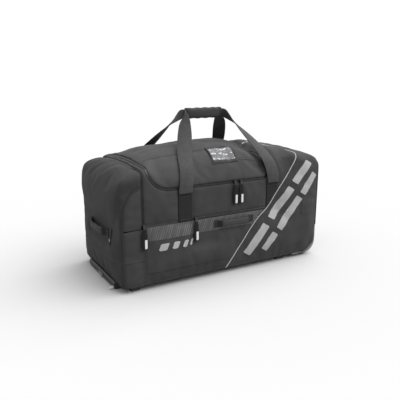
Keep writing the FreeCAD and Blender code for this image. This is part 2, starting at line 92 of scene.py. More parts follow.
WALL = 0.004             # quilted thickness of a fabric wall
KNEE_Y, KNEE_Z = 0.120, 0.433                    # where the top's curve meets the shoulders
END_SHOULDER, END_KNEE = 0.335, (0.050, 0.068)   # where the ends start to round over, and how far
WHEEL_CORNER = 0.050     # radius of the wheel end's lower corner
EDGE_SOFT = 0.028        # how widely the body's edges are turned
LID_CORNER, LID_CORNER_RIGHT = 0.078, 0.026      # radii of the lid zipper's front corners
TAPE_HALF = 0.0050       # half the gap that a zipper's tape shows in
HINGE_GAP = 0.0012       # how far behind the hinge line the lid meets the yoke
FLAP_OVERLAP = 0.0006    # how far the flap's sides hang past its fold
FABRIC_CORNER = 0.096    # radius of the fabric's edge above the housings' grey corner
END_SEAM_Z = 0.107       # the stitched fold across the end's lower face
STITCH_GAP = 0.006       # from a seam to the row of stitches beside it
PUFF = 0.012             # the most that the filling swells the cloth
PUFF_HELD = 0.0105       # how much of that is held back beside the fittings
BUCKLE = 0.0024, 0.0011  # height of the cloth's wide and narrow waves
RIM = 0.008              # width of the card window's rim

# How far the pocket's and the lid's sliders travel towards -X and +X; the cloth lies
# flat beside the fittings and along that travel.
TRAVEL = {"pocket": (0, 0.06), "lid": (0.12, 0)}
FITTINGS = ["lid_slider_left", "lid_slider_right", "pocket_slider", "end_slider",
            "lid_puller_left", "lid_puller_right", "pocket_puller", "end_puller",
            "front_grab_handle", "end_grab_handle", "wheel_end_grab_handle", "tow_grip",
            "tow_button"]

# The crown's height along the bag, the piping that curves up the front, and the seam
# from the end zipper's corner down the corner of the bag, each as (x, z).
CROWN = [(-0.42, 0.384), (-0.37, 0.394), (-0.33, 0.403), (-0.30, 0.417), (-0.26, 0.428),
         (-0.20, 0.434), (-0.08, 0.441), (0.04, 0.446), (0.14, 0.444), (0.20, 0.439),
         (0.24, 0.430), (0.28, 0.419), (0.33, 0.408), (0.38, 0.397), (0.42, 0.388)]
PIPING = [(-0.030, 0.000), (0.011, 0.055), (0.050, 0.104), (0.090, 0.156), (0.122, 0.191),
          (0.159, 0.220), (0.196, 0.268), (0.236, 0.319), (0.265, 0.358), (0.285, 0.392),
          (0.290, 0.430), (0.290, 0.600)]
CORNER_SEAM = [(-0.329, 0.344), (-0.352, 0.340), (-0.376, 0.318), (-0.391, 0.286),
               (-0.3965, 0.240), (-0.3975, 0.000)]


# ---- outlines and fields


def arc_points(centre, radii, start, end, steps):
    angles = np.radians(np.linspace(start, end, steps))
    return [(centre[0] + radii[0] * math.cos(a), centre[1] + radii[1] * math.sin(a)) for a in angles]


def smooth_outline(points, steps=6):
    """Points on a Catmull-Rom curve through the given ones."""
    p = np.array([points[0]] + list(points) + [points[-1]], float)
    out = []
    for i in range(1, len(p) - 2):
        a, b, c, d = p[i - 1], p[i], p[i + 1], p[i + 2]
        for t in np.arange(steps) / steps:
            out.append(0.5 * ((2 * b) + (c - a) * t + (2 * a - 5 * b + 4 * c - d) * t ** 2
                              + (3 * b - a - 3 * c + d) * t ** 3))
    out.append(p[-2])
    return np.array(out)


def signed_distance(u, v, outline):
    """Distance from (u, v) to a closed outline, negative inside it."""
    a = np.array(outline, float)
    b = np.roll(a, -1, axis=0)
    best = np.full(len(u), 9.0)
    inside = np.zeros(len(u), bool)
    for (ax, ay), (bx, by) in zip(a, b):
        ex, ey = bx - ax, by - ay
        t = np.clip(((u - ax) * ex + (v - ay) * ey) / max(ex * ex + ey * ey, 1e-12), 0, 1)
        best = np.minimum(best, np.hypot(u - ax - t * ex, v - ay - t * ey))
        if ay != by:
            crosses = ((ay > v) != (by > v)) & (u < ex * (v - ay) / ey + ax)
            inside ^= crosses
    return np.where(inside, -best, best)


def smooth_max(a, b, k):
    h = np.clip(k - np.abs(a - b), 0, None) / k
    return np.maximum(a, b) + h * h * k / 4


def smoothstep(x, a, b):
    t = np.clip((x - a) / (b - a), 0, 1)
    return t * t * (3 - 2 * t)


CROWN_CURVE = smooth_outline(CROWN)


def crown_height(x):
    return np.interp(x, CROWN_CURVE[:, 0], CROWN_CURVE[:, 1])


DEPTH_SECTION = (
    [(-HALF_W, -0.2)]
    + arc_points((-KNEE_Y, SHOULDER), (HALF_W - KNEE_Y, KNEE_Z - SHOULDER), 180, 90, 12)
    + [(y, TOP - (TOP - KNEE_Z) * (y / KNEE_Y) ** 2) for y in np.linspace(-0.1, 0.1, 11)]
    + arc_points((KNEE_Y, SHOULDER), (HALF_W - KNEE_Y, KNEE_Z - SHOULDER), 90, 0, 12)
    + [(HALF_W, -0.2)]
)
BOX_SECTION = (
    [(-HALF_W, -0.2)]
    + arc_points((-HALF_W + 0.024, TOP - 0.034), (0.024, 0.026), 180, 100, 9)
    + [(-0.05, TOP - 0.001), (0.05, TOP - 0.001)]
    + arc_points((HALF_W - 0.024, TOP - 0.034), (0.024, 0.026), 80, 0, 9)
    + [(HALF_W, -0.2)]
)
LENGTH_SECTION = (
    arc_points((-HALF_L + 0.020, BASE + 0.020), (0.020, 0.020), 270, 180, 5)
    + arc_points((-HALF_L + END_KNEE[0], END_SHOULDER), END_KNEE, 180, 100, 8)
    + [(-0.25, 0.47), (0.0, 0.60), (0.25, 0.47)]
    + arc_points((HALF_L - END_KNEE[0], END_SHOULDER), END_KNEE, 80, 0, 8)
    + arc_points((HALF_L - WHEEL_CORNER, BASE + WHEEL_CORNER), (WHEEL_CORNER, WHEEL_CORNER), 0, -90, 8)
)


def body_field(p):
    """Negative inside the stuffed bag."""
    x, y, z = p.T
    lift = (TOP - crown_height(x)) * smoothstep(z, 0.24, 0.40)
    boxy = 1 - smoothstep(x, -0.325, -0.255) + smoothstep(x, 0.215, 0.290)
    across = (signed_distance(y, z + lift, DEPTH_SECTION) * (1 - boxy)
              + signed_distance(y, z + lift, BOX_SECTION) * boxy)
    along = signed_distance(x, z, LENGTH_SECTION)
    return smooth_max(across, along, np.where(x < 0, EDGE_SOFT * 0.6, EDGE_SOFT / 2))


def open_side(points, far_x):
    """Closed outline of everything between a line drawn upwards and far_x."""
    line = smooth_outline(points)
    return list(map(tuple, line)) + [(far_x, line[-1][1]), (far_x, line[0][1])]


WRAP_OUTLINE = open_side(PIPING, 1.0)
GUSSET_OUTLINE = list(map(tuple, smooth_outline(CORNER_SEAM))) + [(END_ZIP_X, 0.0)]


def lid_field(p):
    """Distance to the lid's zipper line, negative on the lid."""
    x, y, z = p.T
    d = np.maximum.reduce([LID_X0 - x, x - LID_X1, LID_ZIP_Z - z])
    for side, edge, r in ((-1, LID_X0, LID_CORNER), (1, LID_X1, LID_CORNER_RIGHT)):
        cx, cz = edge - side * r, LID_ZIP_Z + r
        corner = (side * (x - cx) > 0) & (z < cz)
        d = np.where(corner, np.hypot(x - cx, z - cz) - r, d)
    return d


def lid_area(p):
    return np.maximum(lid_field(p), p[:, 1] - HINGE_Y)


def end_area(p):
    return p[:, 0] - END_ZIP_X


def wrap_area(p):
    return signed_distance(p[:, 0], p[:, 2], WRAP_OUTLINE)


def gusset_area(p):
    return signed_distance(p[:, 0], p[:, 2], GUSSET_OUTLINE)


def wheel_face_area(p):
    return HALF_L - 0.008 - p[:, 0]


def base_area(p):
    return p[:, 2] - BASE - 0.005


def fabric_corner_area(p):
    """Negative where the flat sides' fabric reaches, above the housing's grey corner."""
    x, z = p[:, 0], p[:, 2]
    cx, cz = HALF_L - FABRIC_CORNER, BASE + FABRIC_CORNER
    inside = (x > cx) & (z < cz)
    return np.where(inside, np.hypot(x - cx, z - cz) - FABRIC_CORNER, -0.05)


def box_between(lower, upper):
    """A field that is negative inside a box."""
    return lambda p: np.maximum.reduce([*(np.array(lower) - p).T, *(p - np.array(upper)).T])


def rectangle(x0, x1, z0, z1):
    return box_between((x0, -1, z0), (x1, 1, z1))


def on_side(side):
    """Negative on the front half for side -1, and on the back half for side 1."""
    return lambda p: -side * p[:, 1]


def below(z):
    """Negative below a height."""
    return lambda p: p[:, 2] - z


def outside(field):
    return lambda p: -field(p)


# ---- the skin


def box_grid(counts, lower, upper):
    """Vertices and quads on the surface of a box divided into equal cells."""
    index, verts, faces = {}, [], []
    size = [(upper[i] - lower[i]) / counts[i] for i in range(3)]

    def vertex(cell):
        if cell not in index:
            index[cell] = len(verts)
            verts.append([lower[i] + cell[i] * size[i] for i in range(3)])
        return index[cell]

    for axis in range(3):
        u, v = (axis + 1) % 3, (axis + 2) % 3
        for level, i, j in itertools.product((0, counts[axis]), range(counts[u]), range(counts[v])):
            corners = [(i, j), (i + 1, j), (i + 1, j + 1), (i, j + 1)]
            if level == 0:
                corners.reverse()
            quad = []
            for a, b in corners:
                cell = [0, 0, 0]
                cell[axis], cell[u], cell[v] = level, a, b
                quad.append(vertex(tuple(cell)))
            faces.append(tuple(quad))
    return np.array(verts), faces


def surface_distance(start, rays, farthest, inset=0.0):
    """How far along each ray the body's surface lies, found by halving."""
    near, far = np.zeros(len(rays)), np.full(len(rays), farthest)
    for _ in range(22):
        mid = (near + far) / 2
        inside = body_field(start + rays * mid[:, None]) < -inset
        near, far = np.where(inside, mid, near), np.where(inside, far, mid)
    return near[:, None]


def project_to_body(verts, core):
    """Moves each point out from the nearest point of an inner box until it meets the body."""
    inner = np.clip(verts, core[0], core[1])
    rays = verts - inner
    rays /= np.linalg.norm(rays, axis=1)[:, None]
    return inner + rays * surface_distance(inner, rays, 0.45)


def new_object(name, verts, faces, *materials):
    mesh = bpy.data.meshes.new(name)
    mesh.from_pydata([tuple(v) for v in verts], [], [tuple(f) for f in faces])
    mesh.update()
    obj = bpy.data.objects.new(name, mesh)
    bpy.context.scene.collection.objects.link(obj)
    for material in materials:
        mesh.materials.append(material)
    return obj


def evaluated(obj):
    """The points and faces of an object after its modifiers; the object is removed."""
    result = obj.evaluated_get(bpy.context.evaluated_depsgraph_get())
    mesh = result.to_mesh()
    points = np.empty(len(mesh.vertices) * 3)
    mesh.vertices.foreach_get("co", points)
    faces = [tuple(p.vertices) for p in mesh.polygons]
    result.to_mesh_clear()
    bpy.data.objects.remove(obj)
    return points.reshape(-1, 3), faces


def seam_distance(p):
    """How far a point of the rest shape is from the nearest seam, zipper or sewn strap."""
    x, y, z = p.T
    front = y < 0
    lid = np.abs(lid_area(p))
    d = [lid, np.abs(end_area(p)), np.abs(wrap_area(p)), np.abs(wheel_face_area(p)),
         np.where(x < END_ZIP_X, np.abs(gusset_area(p)), 1.0),
         np.where(x < END_ZIP_X, np.abs(z - FOLD_Z), 1.0), np.abs(z - BASE)]
    left_of_piping = wrap_area(p) > 0
    between = (x > END_ZIP_X) & left_of_piping
    d.append(np.where(front & between, np.abs(z - POCKET_ZIP_Z), 1.0))
    d.append(np.where(~front & between, np.abs(z - SHOULDER), 1.0))
    strap = np.maximum(np.abs(np.abs(x) - STRAP_X) - STRAP_W / 2, STRAP_LO.z - 0.01 - z)
    d.append(np.where((z < STRAP_HI.z) & (np.abs(y) > 0.15), np.clip(strap, 0, None), 1.0))
    return np.minimum.reduce(d)


def near_fittings(p):
    """1 beside the sliders, pullers and handles, where the cloth lies flat, falling to 0."""
    nearest = np.full(len(p), 1.0)
    for node in FITTINGS:
        lower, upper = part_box(node)
        before, after = TRAVEL.get(node.split("_")[0], (0, 0))
        inside = np.clip(p, np.array(lower) - (before, 0, 0), np.array(upper) + (after, 0, 0))
        nearest = np.minimum(nearest, np.linalg.norm(p - inside, axis=1))
    return 1 - smoothstep(nearest, 0.010, 0.034)


def inflate(rest, faces, pins, pressure, frames, grow):
    """Cloth simulation: the skin swells between its pinned vertices."""
    obj = new_object("filling", rest, faces)
    obj.vertex_groups.new(name="pins").add([int(i) for i in pins], 1.0, "REPLACE")
    cloth = obj.modifiers.new("cloth", "CLOTH")
    s = cloth.settings
    s.quality = 5
    s.mass = 0.3
    s.tension_stiffness = s.compression_stiffness = 15
    s.shear_stiffness = 5
    s.bending_stiffness = 0.6
    s.shrink_min = -grow
    s.use_pressure = True
    s.uniform_pressure_force = pressure
    s.vertex_group_mass = "pins"
    s.pin_stiffness = 1.0
    s.effector_weights.gravity = 0
    cloth.point_cache.frame_start, cloth.point_cache.frame_end = 1, frames
    for i in range(1, frames + 1):
        bpy.context.scene.frame_set(i)
    moved, _ = evaluated(obj)
    bpy.context.scene.frame_set(1)
    return moved


def subdivided(verts, faces):
    obj = new_object("fine", verts, faces)
    modifier = obj.modifiers.new("subdivide", "SUBSURF")
    modifier.levels = modifier.render_levels = 1
    return evaluated(obj)


def vertex_normals(verts, faces):
    quads = np.array(faces)
    a, b, c, d = (verts[quads[:, i]] for i in range(4))
    face_normals = np.cross(c - a, d - b)
    normals = np.zeros_like(verts)
    for i in range(4):
        np.add.at(normals, quads[:, i], face_normals)
    return normals / np.linalg.norm(normals, axis=1)[:, None]


def ripples(p, seed, wavelength, count=7):
    """A smooth random height made of plane waves, about -1 to 1."""
    rng = np.random.default_rng(seed)
    total = np.zeros(len(p))
    for _ in range(count):
        direction = rng.normal(size=3)
        direction /= np.linalg.norm(direction)
        wave = 2 * math.pi / (wavelength * rng.uniform(0.7, 1.5))
        total += np.sin(p @ direction * wave + rng.uniform(0, 2 * math.pi))
    return total / math.sqrt(count) * 0.8


def make_skin():
    """Rows of rest place, filled place and normal for each vertex, and the quads."""
    box, quads = box_grid((76, 36, 40), (-HALF_L, -HALF_W, BASE), (HALF_L, HALF_W, TOP))
    core = np.array([(-0.275, -0.06, 0.142), (0.275, 0.06, 0.316)])
    rest = project_to_body(box, core)
    moved = rest.copy()
    pins = np.nonzero(seam_distance(rest) < STITCH_GAP)[0]
    shift = inflate(rest, quads, pins, pressure=3.5, frames=20, grow=0.012) - rest
    size = np.linalg.norm(shift, axis=1)
    cap = PUFF - PUFF_HELD * near_fittings(rest)
    shift *= (np.minimum(size, cap) / np.maximum(size, 1e-9))[:, None]
    moved = rest + shift
    fine_rest, fine_quads = subdivided(rest, quads)
    fine_moved, _ = subdivided(moved, quads)
    normals = vertex_normals(fine_moved, fine_quads)
    return shape_skin(fine_rest, fine_moved, normals, fine_quads), fine_quads


def shape_skin(rest, moved, normals, quads):
    """Adds the sag, the dents and the seams' valleys, then measures the normals again."""
    x, y, z = rest.T
    seam = seam_distance(rest)
    loose = smoothstep(seam, 0.0, 0.05) * (1 - near_fittings(rest))
    lift = loose * (BUCKLE[0] * ripples(rest, 5, 0.17) + BUCKLE[1] * ripples(rest, 11, 0.06))
    valley = np.where((np.abs(z - FOLD_Z) < 0.02) & (x < END_ZIP_X), 0.0002, 0.0022)
    lift -= valley * (1 - smoothstep(seam, 0.0, 0.009))
    spread = np.where(x < LID_X1, 0.062, 0.026)
    groove = np.exp(-((x - LID_X1) / spread) ** 2) * smoothstep(z, 0.325, 0.385)
    lift -= 0.027 * groove * (1 - smoothstep(y, 0.12, 0.172))
    saddle = np.exp(-((x - 0.215) / 0.055) ** 2) * np.exp(-((y + 0.02) / 0.07) ** 2)
    lift -= 0.014 * saddle * smoothstep(z, 0.36, 0.41)
    moved = moved + normals * lift[:, None]
    return np.hstack([rest, moved, vertex_normals(moved, quads)])


# ---- cutting pieces from the skin


def clip(patch, *fields):
    """The part of a patch where every field of the rest place is below zero."""
    for field in fields:
        patch = clipped(patch, field)
    return patch


def cut(*fields):
    return clip(SKIN, *fields)


def clipped(patch, field):
    rows, faces = patch
    f = field(rows[:, :3])
    f = np.where(np.abs(f) < 2e-4, 0.0, f)
    keep = f <= 0
    sizes = np.fromiter(map(len, faces), int, len(faces))
    corners_in = np.add.reduceat(keep[flattened(faces)].astype(int), np.cumsum(sizes) - sizes)
    out = [faces[i] for i in np.nonzero(corners_in == sizes)[0]]
    new_rows, made = [], {}
    for i in np.nonzero((corners_in > 0) & (corners_in < sizes))[0]:
        face, corners = faces[i], []
        for a, b in zip(face, face[1:] + face[:1]):
            if keep[a]:
                corners.append(a)
            if keep[a] == keep[b]:
                continue
            p, q = (a, b) if keep[a] else (b, a)
            crossing = p
            if f[p] != 0:
                if (p, q) not in made:
                    t = f[p] / (f[p] - f[q])
                    made[p, q] = len(rows) + len(new_rows)
                    new_rows.append(rows[p] * (1 - t) + rows[q] * t)
                crossing = made[p, q]
            if crossing not in corners:
                corners.append(crossing)
        if len(corners) > 2:
            out.append(tuple(corners))
    if not out:
        return rows[:0], []
    all_rows = np.vstack([rows] + new_rows) if new_rows else rows
    flat = flattened(out)
    used = np.unique(flat)
    place = np.zeros(len(all_rows), int)
    place[used] = np.arange(len(used))
    numbers = iter(place[flat].tolist())
    return all_rows[used], [tuple(next(numbers) for _ in face) for face in out]


def flattened(faces):
    return np.fromiter(itertools.chain.from_iterable(faces), int)


def band(field, start, end):
    """Between two distances from a field's line."""
    return lambda p: np.maximum(start - field(p), field(p) - end)


def border_edges(faces):
    edges = {}
    for face in faces:
        for a, b in zip(face, face[1:] + face[:1]):
            if (b, a) in edges:
                del edges[b, a]
            else:
                edges[a, b] = True
    return list(edges)


def shell(name, patch, top, thickness, material, lining=None, hem=0.0):
    """A closed piece: the patch lifted by top along its normals, with its own thickness.

    hem rounds the outer edge down by that much around the border.
    """
    rows, faces = patch
    place, normal = rows[:, 3:6], rows[:, 6:9]
    normal = normal / np.linalg.norm(normal, axis=1)[:, None]
    border = border_edges(faces)
    edge = sorted({v for e in border for v in e})
    outer, inner = place + normal * top, place + normal * (top - thickness)
    outer[edge] -= normal[edge] * hem
    inner[edge] -= normal[edge] * hem * 0.4
    n = len(rows)
    backs = [tuple(v + n for v in reversed(face)) for face in faces]
    sides = [(a + n, b + n, b, a) for a, b in border]
    obj = new_object(name, np.vstack([outer, inner]), faces + backs + sides, material)
    if lining is not None:
        obj.data.materials.append(lining)
        index = [0] * len(faces) + [1] * len(backs) + [0] * len(sides)
        obj.data.polygons.foreach_set("material_index", index)
    smooth(obj, 55)
    return obj


def smooth(obj, angle):
    obj.data.polygons.foreach_set("use_smooth", [True] * len(obj.data.polygons))
    obj.data.set_sharp_from_angle(angle=math.radians(angle))
    obj.data.update()


def contour(field, wanted, spacing=0.004):
    """The longest run of a field's line on the skin where wanted holds, evenly spaced."""
    rows, faces = clip(SKIN, field)
    edges = border_edges(faces)
    border = sorted({v for edge in edges for v in edge})
    ok = {v for v, good in zip(border, wanted(rows[border, :3])) if good}
    following, arriving = {}, {}
    for a, b in edges:
        if a in ok and b in ok:
            following.setdefault(a, []).append(b)
            arriving[b] = arriving.get(b, 0) + 1
    starts = [v for v in sorted(following) if len(following[v]) > arriving.get(v, 0)]
    best = []
    for start in starts + sorted(following):
        run = [start]
        while following.get(run[-1]):
            run.append(following[run[-1]].pop())
        if len(run) > len(best):
            best = run
    return even(rows[best], spacing) if len(best) > 2 else rows[:0]


def even(rows, spacing):
    """Rows resampled at equal steps along the filled place, then lightly smoothed."""
    steps = np.linalg.norm(np.diff(rows[:, 3:6], axis=0), axis=1)
    along = np.concatenate([[0], np.cumsum(steps)])
    count = max(3, int(along[-1] / spacing) + 1)
    at = np.linspace(0, along[-1], count)
    out = np.column_stack([np.interp(at, along, rows[:, i]) for i in range(rows.shape[1])])
    for _ in range(3):
        out[1:-1] = (out[:-2] + 2 * out[1:-1] + out[2:]) / 4
    return out


def ring_faces(rings, count, closed=False):
    """Quads between rings of count vertices; closed also joins the last ring to the first."""
    faces = []
    for i in range(rings if closed else rings - 1):
        k = (i + 1) % rings
        for j in range(count):
            m = (j + 1) % count
            faces.append((i * count + j, i * count + m, k * count + m, k * count + j))
    return faces


def sweep(name, path, ups, profile, material):
    """A closed profile of (side, up) points carried along a path, with capped ends."""
    path, ups, profile = (np.asarray(v, float) for v in (path, ups, profile))
    tangent = np.gradient(path, axis=0)
    side = np.cross(tangent, ups)
    side /= np.linalg.norm(side, axis=1)[:, None]
    up = np.cross(side, tangent)
    up /= np.linalg.norm(up, axis=1)[:, None]
    if profile.ndim == 2:
        profile = np.repeat(profile[None], len(path), axis=0)
    m = profile.shape[1]
    verts = path[:, None] + side[:, None] * profile[:, :, :1] + up[:, None] * profile[:, :, 1:]
    faces = ring_faces(len(path), m)
    faces.append(tuple(reversed(range(m))))
    faces.append(tuple((len(path) - 1) * m + j for j in range(m)))
    obj = new_object(name, verts.reshape(-1, 3), faces, material)
    smooth(obj, 50)
    return obj


def circle(radius, count=8, squash=1.0):
    angles = np.arange(count) * 2 * math.pi / count
    return [(radius * math.cos(a), radius * squash * math.sin(a)) for a in angles]


def rounded_strip(width, height, radius, steps=3):
    """Outline of a flat strip with rounded long edges."""
    out = []
    for cx, cy, start in ((1, 1, 0), (-1, 1, 90), (-1, -1, 180), (1, -1, 270)):
        centre = (cx * (width / 2 - radius), cy * (height / 2 - radius))
        out += arc_points(centre, (radius, radius), start, start + 90, steps)
    return out


def join(name, objects):
    for o in bpy.context.selected_objects:
        o.select_set(False)
    for o in objects:
        o.select_set(True)
    bpy.context.view_layer.objects.active = objects[0]
    bpy.ops.object.join()
    objects[0].name = name
    objects[0].data.name = name
    return objects[0]


def dashes(path, normals, lift, pitch=0.0044, length=0.003, width=0.0009):
    """A row of stitches lying along a path."""
    path, normals = np.asarray(path, float), np.asarray(normals, float)
    steps = np.linalg.norm(np.diff(path, axis=0), axis=1)
    along = np.concatenate([[0], np.cumsum(steps)])
    verts, faces = [], []
    h = 0.0007
    for s in np.arange(pitch / 2, along[-1] - length, pitch):
        ends = []
        for t in (s, s + length / 2, s + length):
            p = np.array([np.interp(t, along, path[:, i]) for i in range(3)])
            n = np.array([np.interp(t, along, normals[:, i]) for i in range(3)])
            ends.append((p, n / np.linalg.norm(n)))
        direction = ends[2][0] - ends[0][0]
        direction /= np.linalg.norm(direction)
        base = len(verts)
        for k, (p, n) in enumerate(ends):
            side = np.cross(direction, n) * width / 2
            rise = lift + (h if k == 1 else h * 0.35)
            verts += [p + side + n * (lift - h), p - side + n * (lift - h),
                      p - side * 0.5 + n * rise, p + side * 0.5 + n * rise]
        for face in ring_faces(3, 4) + [(3, 2, 1, 0), (8, 9, 10, 11)]:
            faces.append(tuple(base + v for v in face))
    return new_object("stitches", verts, faces, THREAD)


# ---- materials


class Look:
    """A material's node graph, laid out in the object's own coordinates."""

    def __init__(self, name, colour, roughness, metallic=0.0):
        self.material = bpy.data.materials.new(name)
        self.material.use_nodes = True
        self.tree, self.colour = self.material.node_tree, colour
        self.shader = self.tree.nodes["Principled BSDF"]
        self.set(Base_Color=(*colour, 1), Roughness=roughness, Metallic=metallic)
        self.place = self.node("TexCoord").outputs["Object"]

    def set(self, **constants):
        for key, value in constants.items():
            self.shader.inputs[key.replace("_", " ")].default_value = value

    def node(self, kind, *sources, **constants):
        """A node whose first sockets take the sources and whose named ones take constants."""
        node = self.tree.nodes.new("ShaderNode" + kind)
        for source, socket in zip(sources, node.inputs):
            self.tree.links.new(source, socket)
        for key, value in constants.items():
            node.inputs[key.replace("_", " ")].default_value = value
        return node

    def noise(self, scale, detail, place=None):
        return self.node("TexNoise", place or self.place, Scale=scale, Detail=detail).outputs["Fac"]

    def mapped(self, place, **constants):
        return self.node("Mapping", place, **constants).outputs["Vector"]

    def waves(self, direction, scale, place=None):
        wave = self.node("TexWave", place or self.place, Scale=scale, Distortion=0.0)
        wave.wave_type, wave.bands_direction = "BANDS", direction
        return wave.outputs["Fac"]

    def combined(self, operation, *values):
        """The values joined two by two by one operation."""
        total = values[0]
        for value in values[1:]:
            node = self.node("Math", total, value)
            node.operation = operation
            total = node.outputs[0]
        return total

    def coloured(self, factor, start, end, first, second, interpolation="LINEAR"):
        """Base colour from a ramp between two colours."""
        node = self.node("ValToRGB", factor)
        node.color_ramp.interpolation = interpolation
        for element, position, colour in zip(node.color_ramp.elements, (start, end), (first, second)):
            element.position, element.color = position, (*colour, 1)
        self.tree.links.new(node.outputs["Color"], self.shader.inputs["Base Color"])

    def mottled(self, spread, scale, place=None):
        """Base colour that varies softly about the material's own."""
        darker, lighter = ([c * (1 + s * spread) for c in self.colour] for s in (-1, 1))
        self.coloured(self.noise(scale, 4.0, place), 0.3, 0.7, darker, lighter)

    def bumped(self, height, strength, distance):
        bump = self.node("Bump", Strength=strength, Distance=distance)
        self.tree.links.new(height, bump.inputs["Height"])
        self.tree.links.new(bump.outputs["Normal"], self.shader.inputs["Normal"])
        return self.material


WEAVE = 620.0            # wave scale that gives threads about half a millimetre apart
BAND = 0.31              # wave scale times spacing, for bands at that spacing


def fabric(name, colour, roughness=0.78, weave=WEAVE, strength=0.25, spread=0.10, sheen=0.02):
    look = Look(name, colour, roughness)
    look.mottled(spread, 26.0)
    threads = [look.waves(axis, weave) for axis in "YZX"]
    look.set(Sheen_Weight=sheen, Sheen_Roughness=0.5, Specular_IOR_Level=0.12)
    return look.bumped(look.combined("ADD", *threads, look.noise(240.0, 3.0)), strength, 0.0006)


def moulded(name, colour, roughness, grain=420.0, strength=0.18):
    look = Look(name, colour, roughness)
    look.mottled(0.08, 60.0)
    return look.bumped(look.noise(grain, 2.0), strength, 0.0004)


def metal(name, colour, roughness):
    look = Look(name, colour, roughness, metallic=1.0)
    stretched = look.mapped(look.place, Scale=(4.0, 300.0, 300.0))
    look.mottled(0.06, 6.0, stretched)
    return look.bumped(look.noise(5.0, 2.0, stretched), 0.08, 0.0002)


def ribbed(name, colour):
    """Webbing: lengthwise ribs with the threads' grain across them."""
    look = Look(name, colour, 0.7)
    look.mottled(0.14, 90.0)
    look.set(Sheen_Weight=0.02, Specular_IOR_Level=0.1)
    ribs = look.combined("ADD", look.waves("X", BAND / 0.0042), look.waves("Z", BAND / 0.0016))
    return look.bumped(ribs, 0.5, 0.0008)


def marked(name, colour, mark, left, bottom, top):
    """A moulded puller with a pale mark to the right of left, between two heights."""
    look = Look(name, colour, 0.5)
    split = look.node("SeparateXYZ", look.place)
    tests = []
    for axis, operation, limit in (("X", "GREATER_THAN", left), ("Z", "GREATER_THAN", bottom),
                                   ("Z", "LESS_THAN", top)):
        test = look.node("Math", split.outputs[axis])
        test.operation = operation
        test.inputs[1].default_value = limit
        tests.append(test.outputs[0])
    look.coloured(look.combined("MULTIPLY", *tests), 0.0, 1.0, colour, mark)
    look.set(Specular_IOR_Level=0.15)
    return look.bumped(look.noise(500.0, 2.0), 0.15, 0.0003)


def hatched(name, colour, stroke):
    """The printed band: slanted strokes that come and go over charcoal cloth."""
    look = Look(name, colour, 0.7)
    turned = look.mapped(look.place, Rotation=(0.0, math.radians(-24), 0.0))
    strokes = look.waves("X", BAND / 0.0075, turned)
    fade = look.noise(1.0, 2.0, look.mapped(turned, Scale=(70.0, 1.0, 14.0)))
    look.coloured(look.combined("MULTIPLY", strokes, fade), 0.30, 0.52, colour, stroke)
    threads = look.combined("ADD", look.waves("X", WEAVE), look.waves("Z", WEAVE))
    return look.bumped(threads, 0.25, 0.0005)


def clear(name):
    look = Look(name, (0.20, 0.20, 0.21), 0.15)
    look.set(Alpha=0.10)
    return look.bumped(look.noise(60.0, 1.0), 0.2, 0.0008)


def blank_card(name, paper, ink):
    """A dark name card with pale blocks in rows, and no writing."""
    look = Look(name, paper, 0.6)
    blocks = look.combined("MULTIPLY", look.waves("Y", BAND / 0.017), look.noise(120.0, 1.0))
    look.coloured(blocks, 0.0, 0.50, paper, ink, "CONSTANT")
    return look.material


def grey(level, blue=0.0):
    """A neutral colour, a little bluer where asked."""
    return (level, level, level + blue)


CLOTH = fabric("charcoal_polyester", (0.029, 0.0285, 0.029))
# Painted shade: the same charcoal cloth made darker on the end, standing in for the end lying in less
# light.
END_CLOTH_PAINTED_SHADE = fabric("end_polyester_painted_shade", (0.0225, 0.022, 0.022))
# Painted light: the same charcoal cloth made lighter on the lid, standing in for the top catching more
# light.
LID_CLOTH_PAINTED_LIGHT = fabric("lid_polyester_painted_light", (0.036, 0.035, 0.036))
LINING = fabric("lining", (0.030, 0.031, 0.033), roughness=0.6, weave=420.0, spread=0.15)
TARPAULIN = fabric("base_tarpaulin", grey(0.020, 0.001), roughness=0.5, weave=300.0)
PAD_CLOTH = fabric("handle_cloth", grey(0.032, 0.001), weave=500.0, strength=0.4)
WEBBING = ribbed("black_webbing", grey(0.0125, 0.0005))
# Painted light: the same black webbing made lighter on the carrying loops, standing in for their sheen
# where they face the light.
WEBBING_PAINTED_LIGHT = ribbed("loop_webbing_painted_light", grey(0.037))
TAPE = fabric("zip_tape", grey(0.020, 0.001), roughness=0.6, weave=700.0)
COIL = moulded("zip_coil", grey(0.012, 0.001), 0.35)
PIPING_CLOTH = fabric("piping_cloth", grey(0.020, 0.001), roughness=0.6)
REFLECTIVE = fabric("reflective_piping", grey(0.30), roughness=0.45, spread=0.05)
PRINT = fabric("pale_print", grey(0.25), roughness=0.6, spread=0.05, sheen=0.0)
THREAD = fabric("thread", (0.060, 0.060, 0.062), roughness=0.6)
HATCH = hatched("hatched_print", grey(0.024, 0.001), grey(0.068, 0.001))
HOUSING = moulded("housing_plastic", (0.105, 0.106, 0.108), 0.45)
BLACK_PLASTIC = moulded("black_plastic", grey(0.008, 0.001), 0.55)
BUTTON = moulded("button_plastic", (0.10, 0.10, 0.105), 0.5)
RUBBER = moulded("wheel_rubber", grey(0.016, 0.001), 0.62, grain=260.0, strength=0.35)
HUB = moulded("hub_plastic", (0.085, 0.087, 0.090), 0.4)
STEEL = metal("steel", (0.55, 0.56, 0.58), 0.3)
ALLOY = metal("tube_alloy", (0.62, 0.63, 0.65), 0.35)
TAB = moulded("pull_tab", grey(0.45), 0.5)
SLIDER = metal("black_zip_metal", (0.07, 0.07, 0.075), 0.38)
BOARD = fabric("board_cover", (0.026, 0.026, 0.028), roughness=0.55, weave=350.0)
CARD = blank_card("name_card", (0.030, 0.030, 0.032), grey(0.40))
VINYL = clear("clear_vinyl")


# ---- panels

SKIN = make_skin()


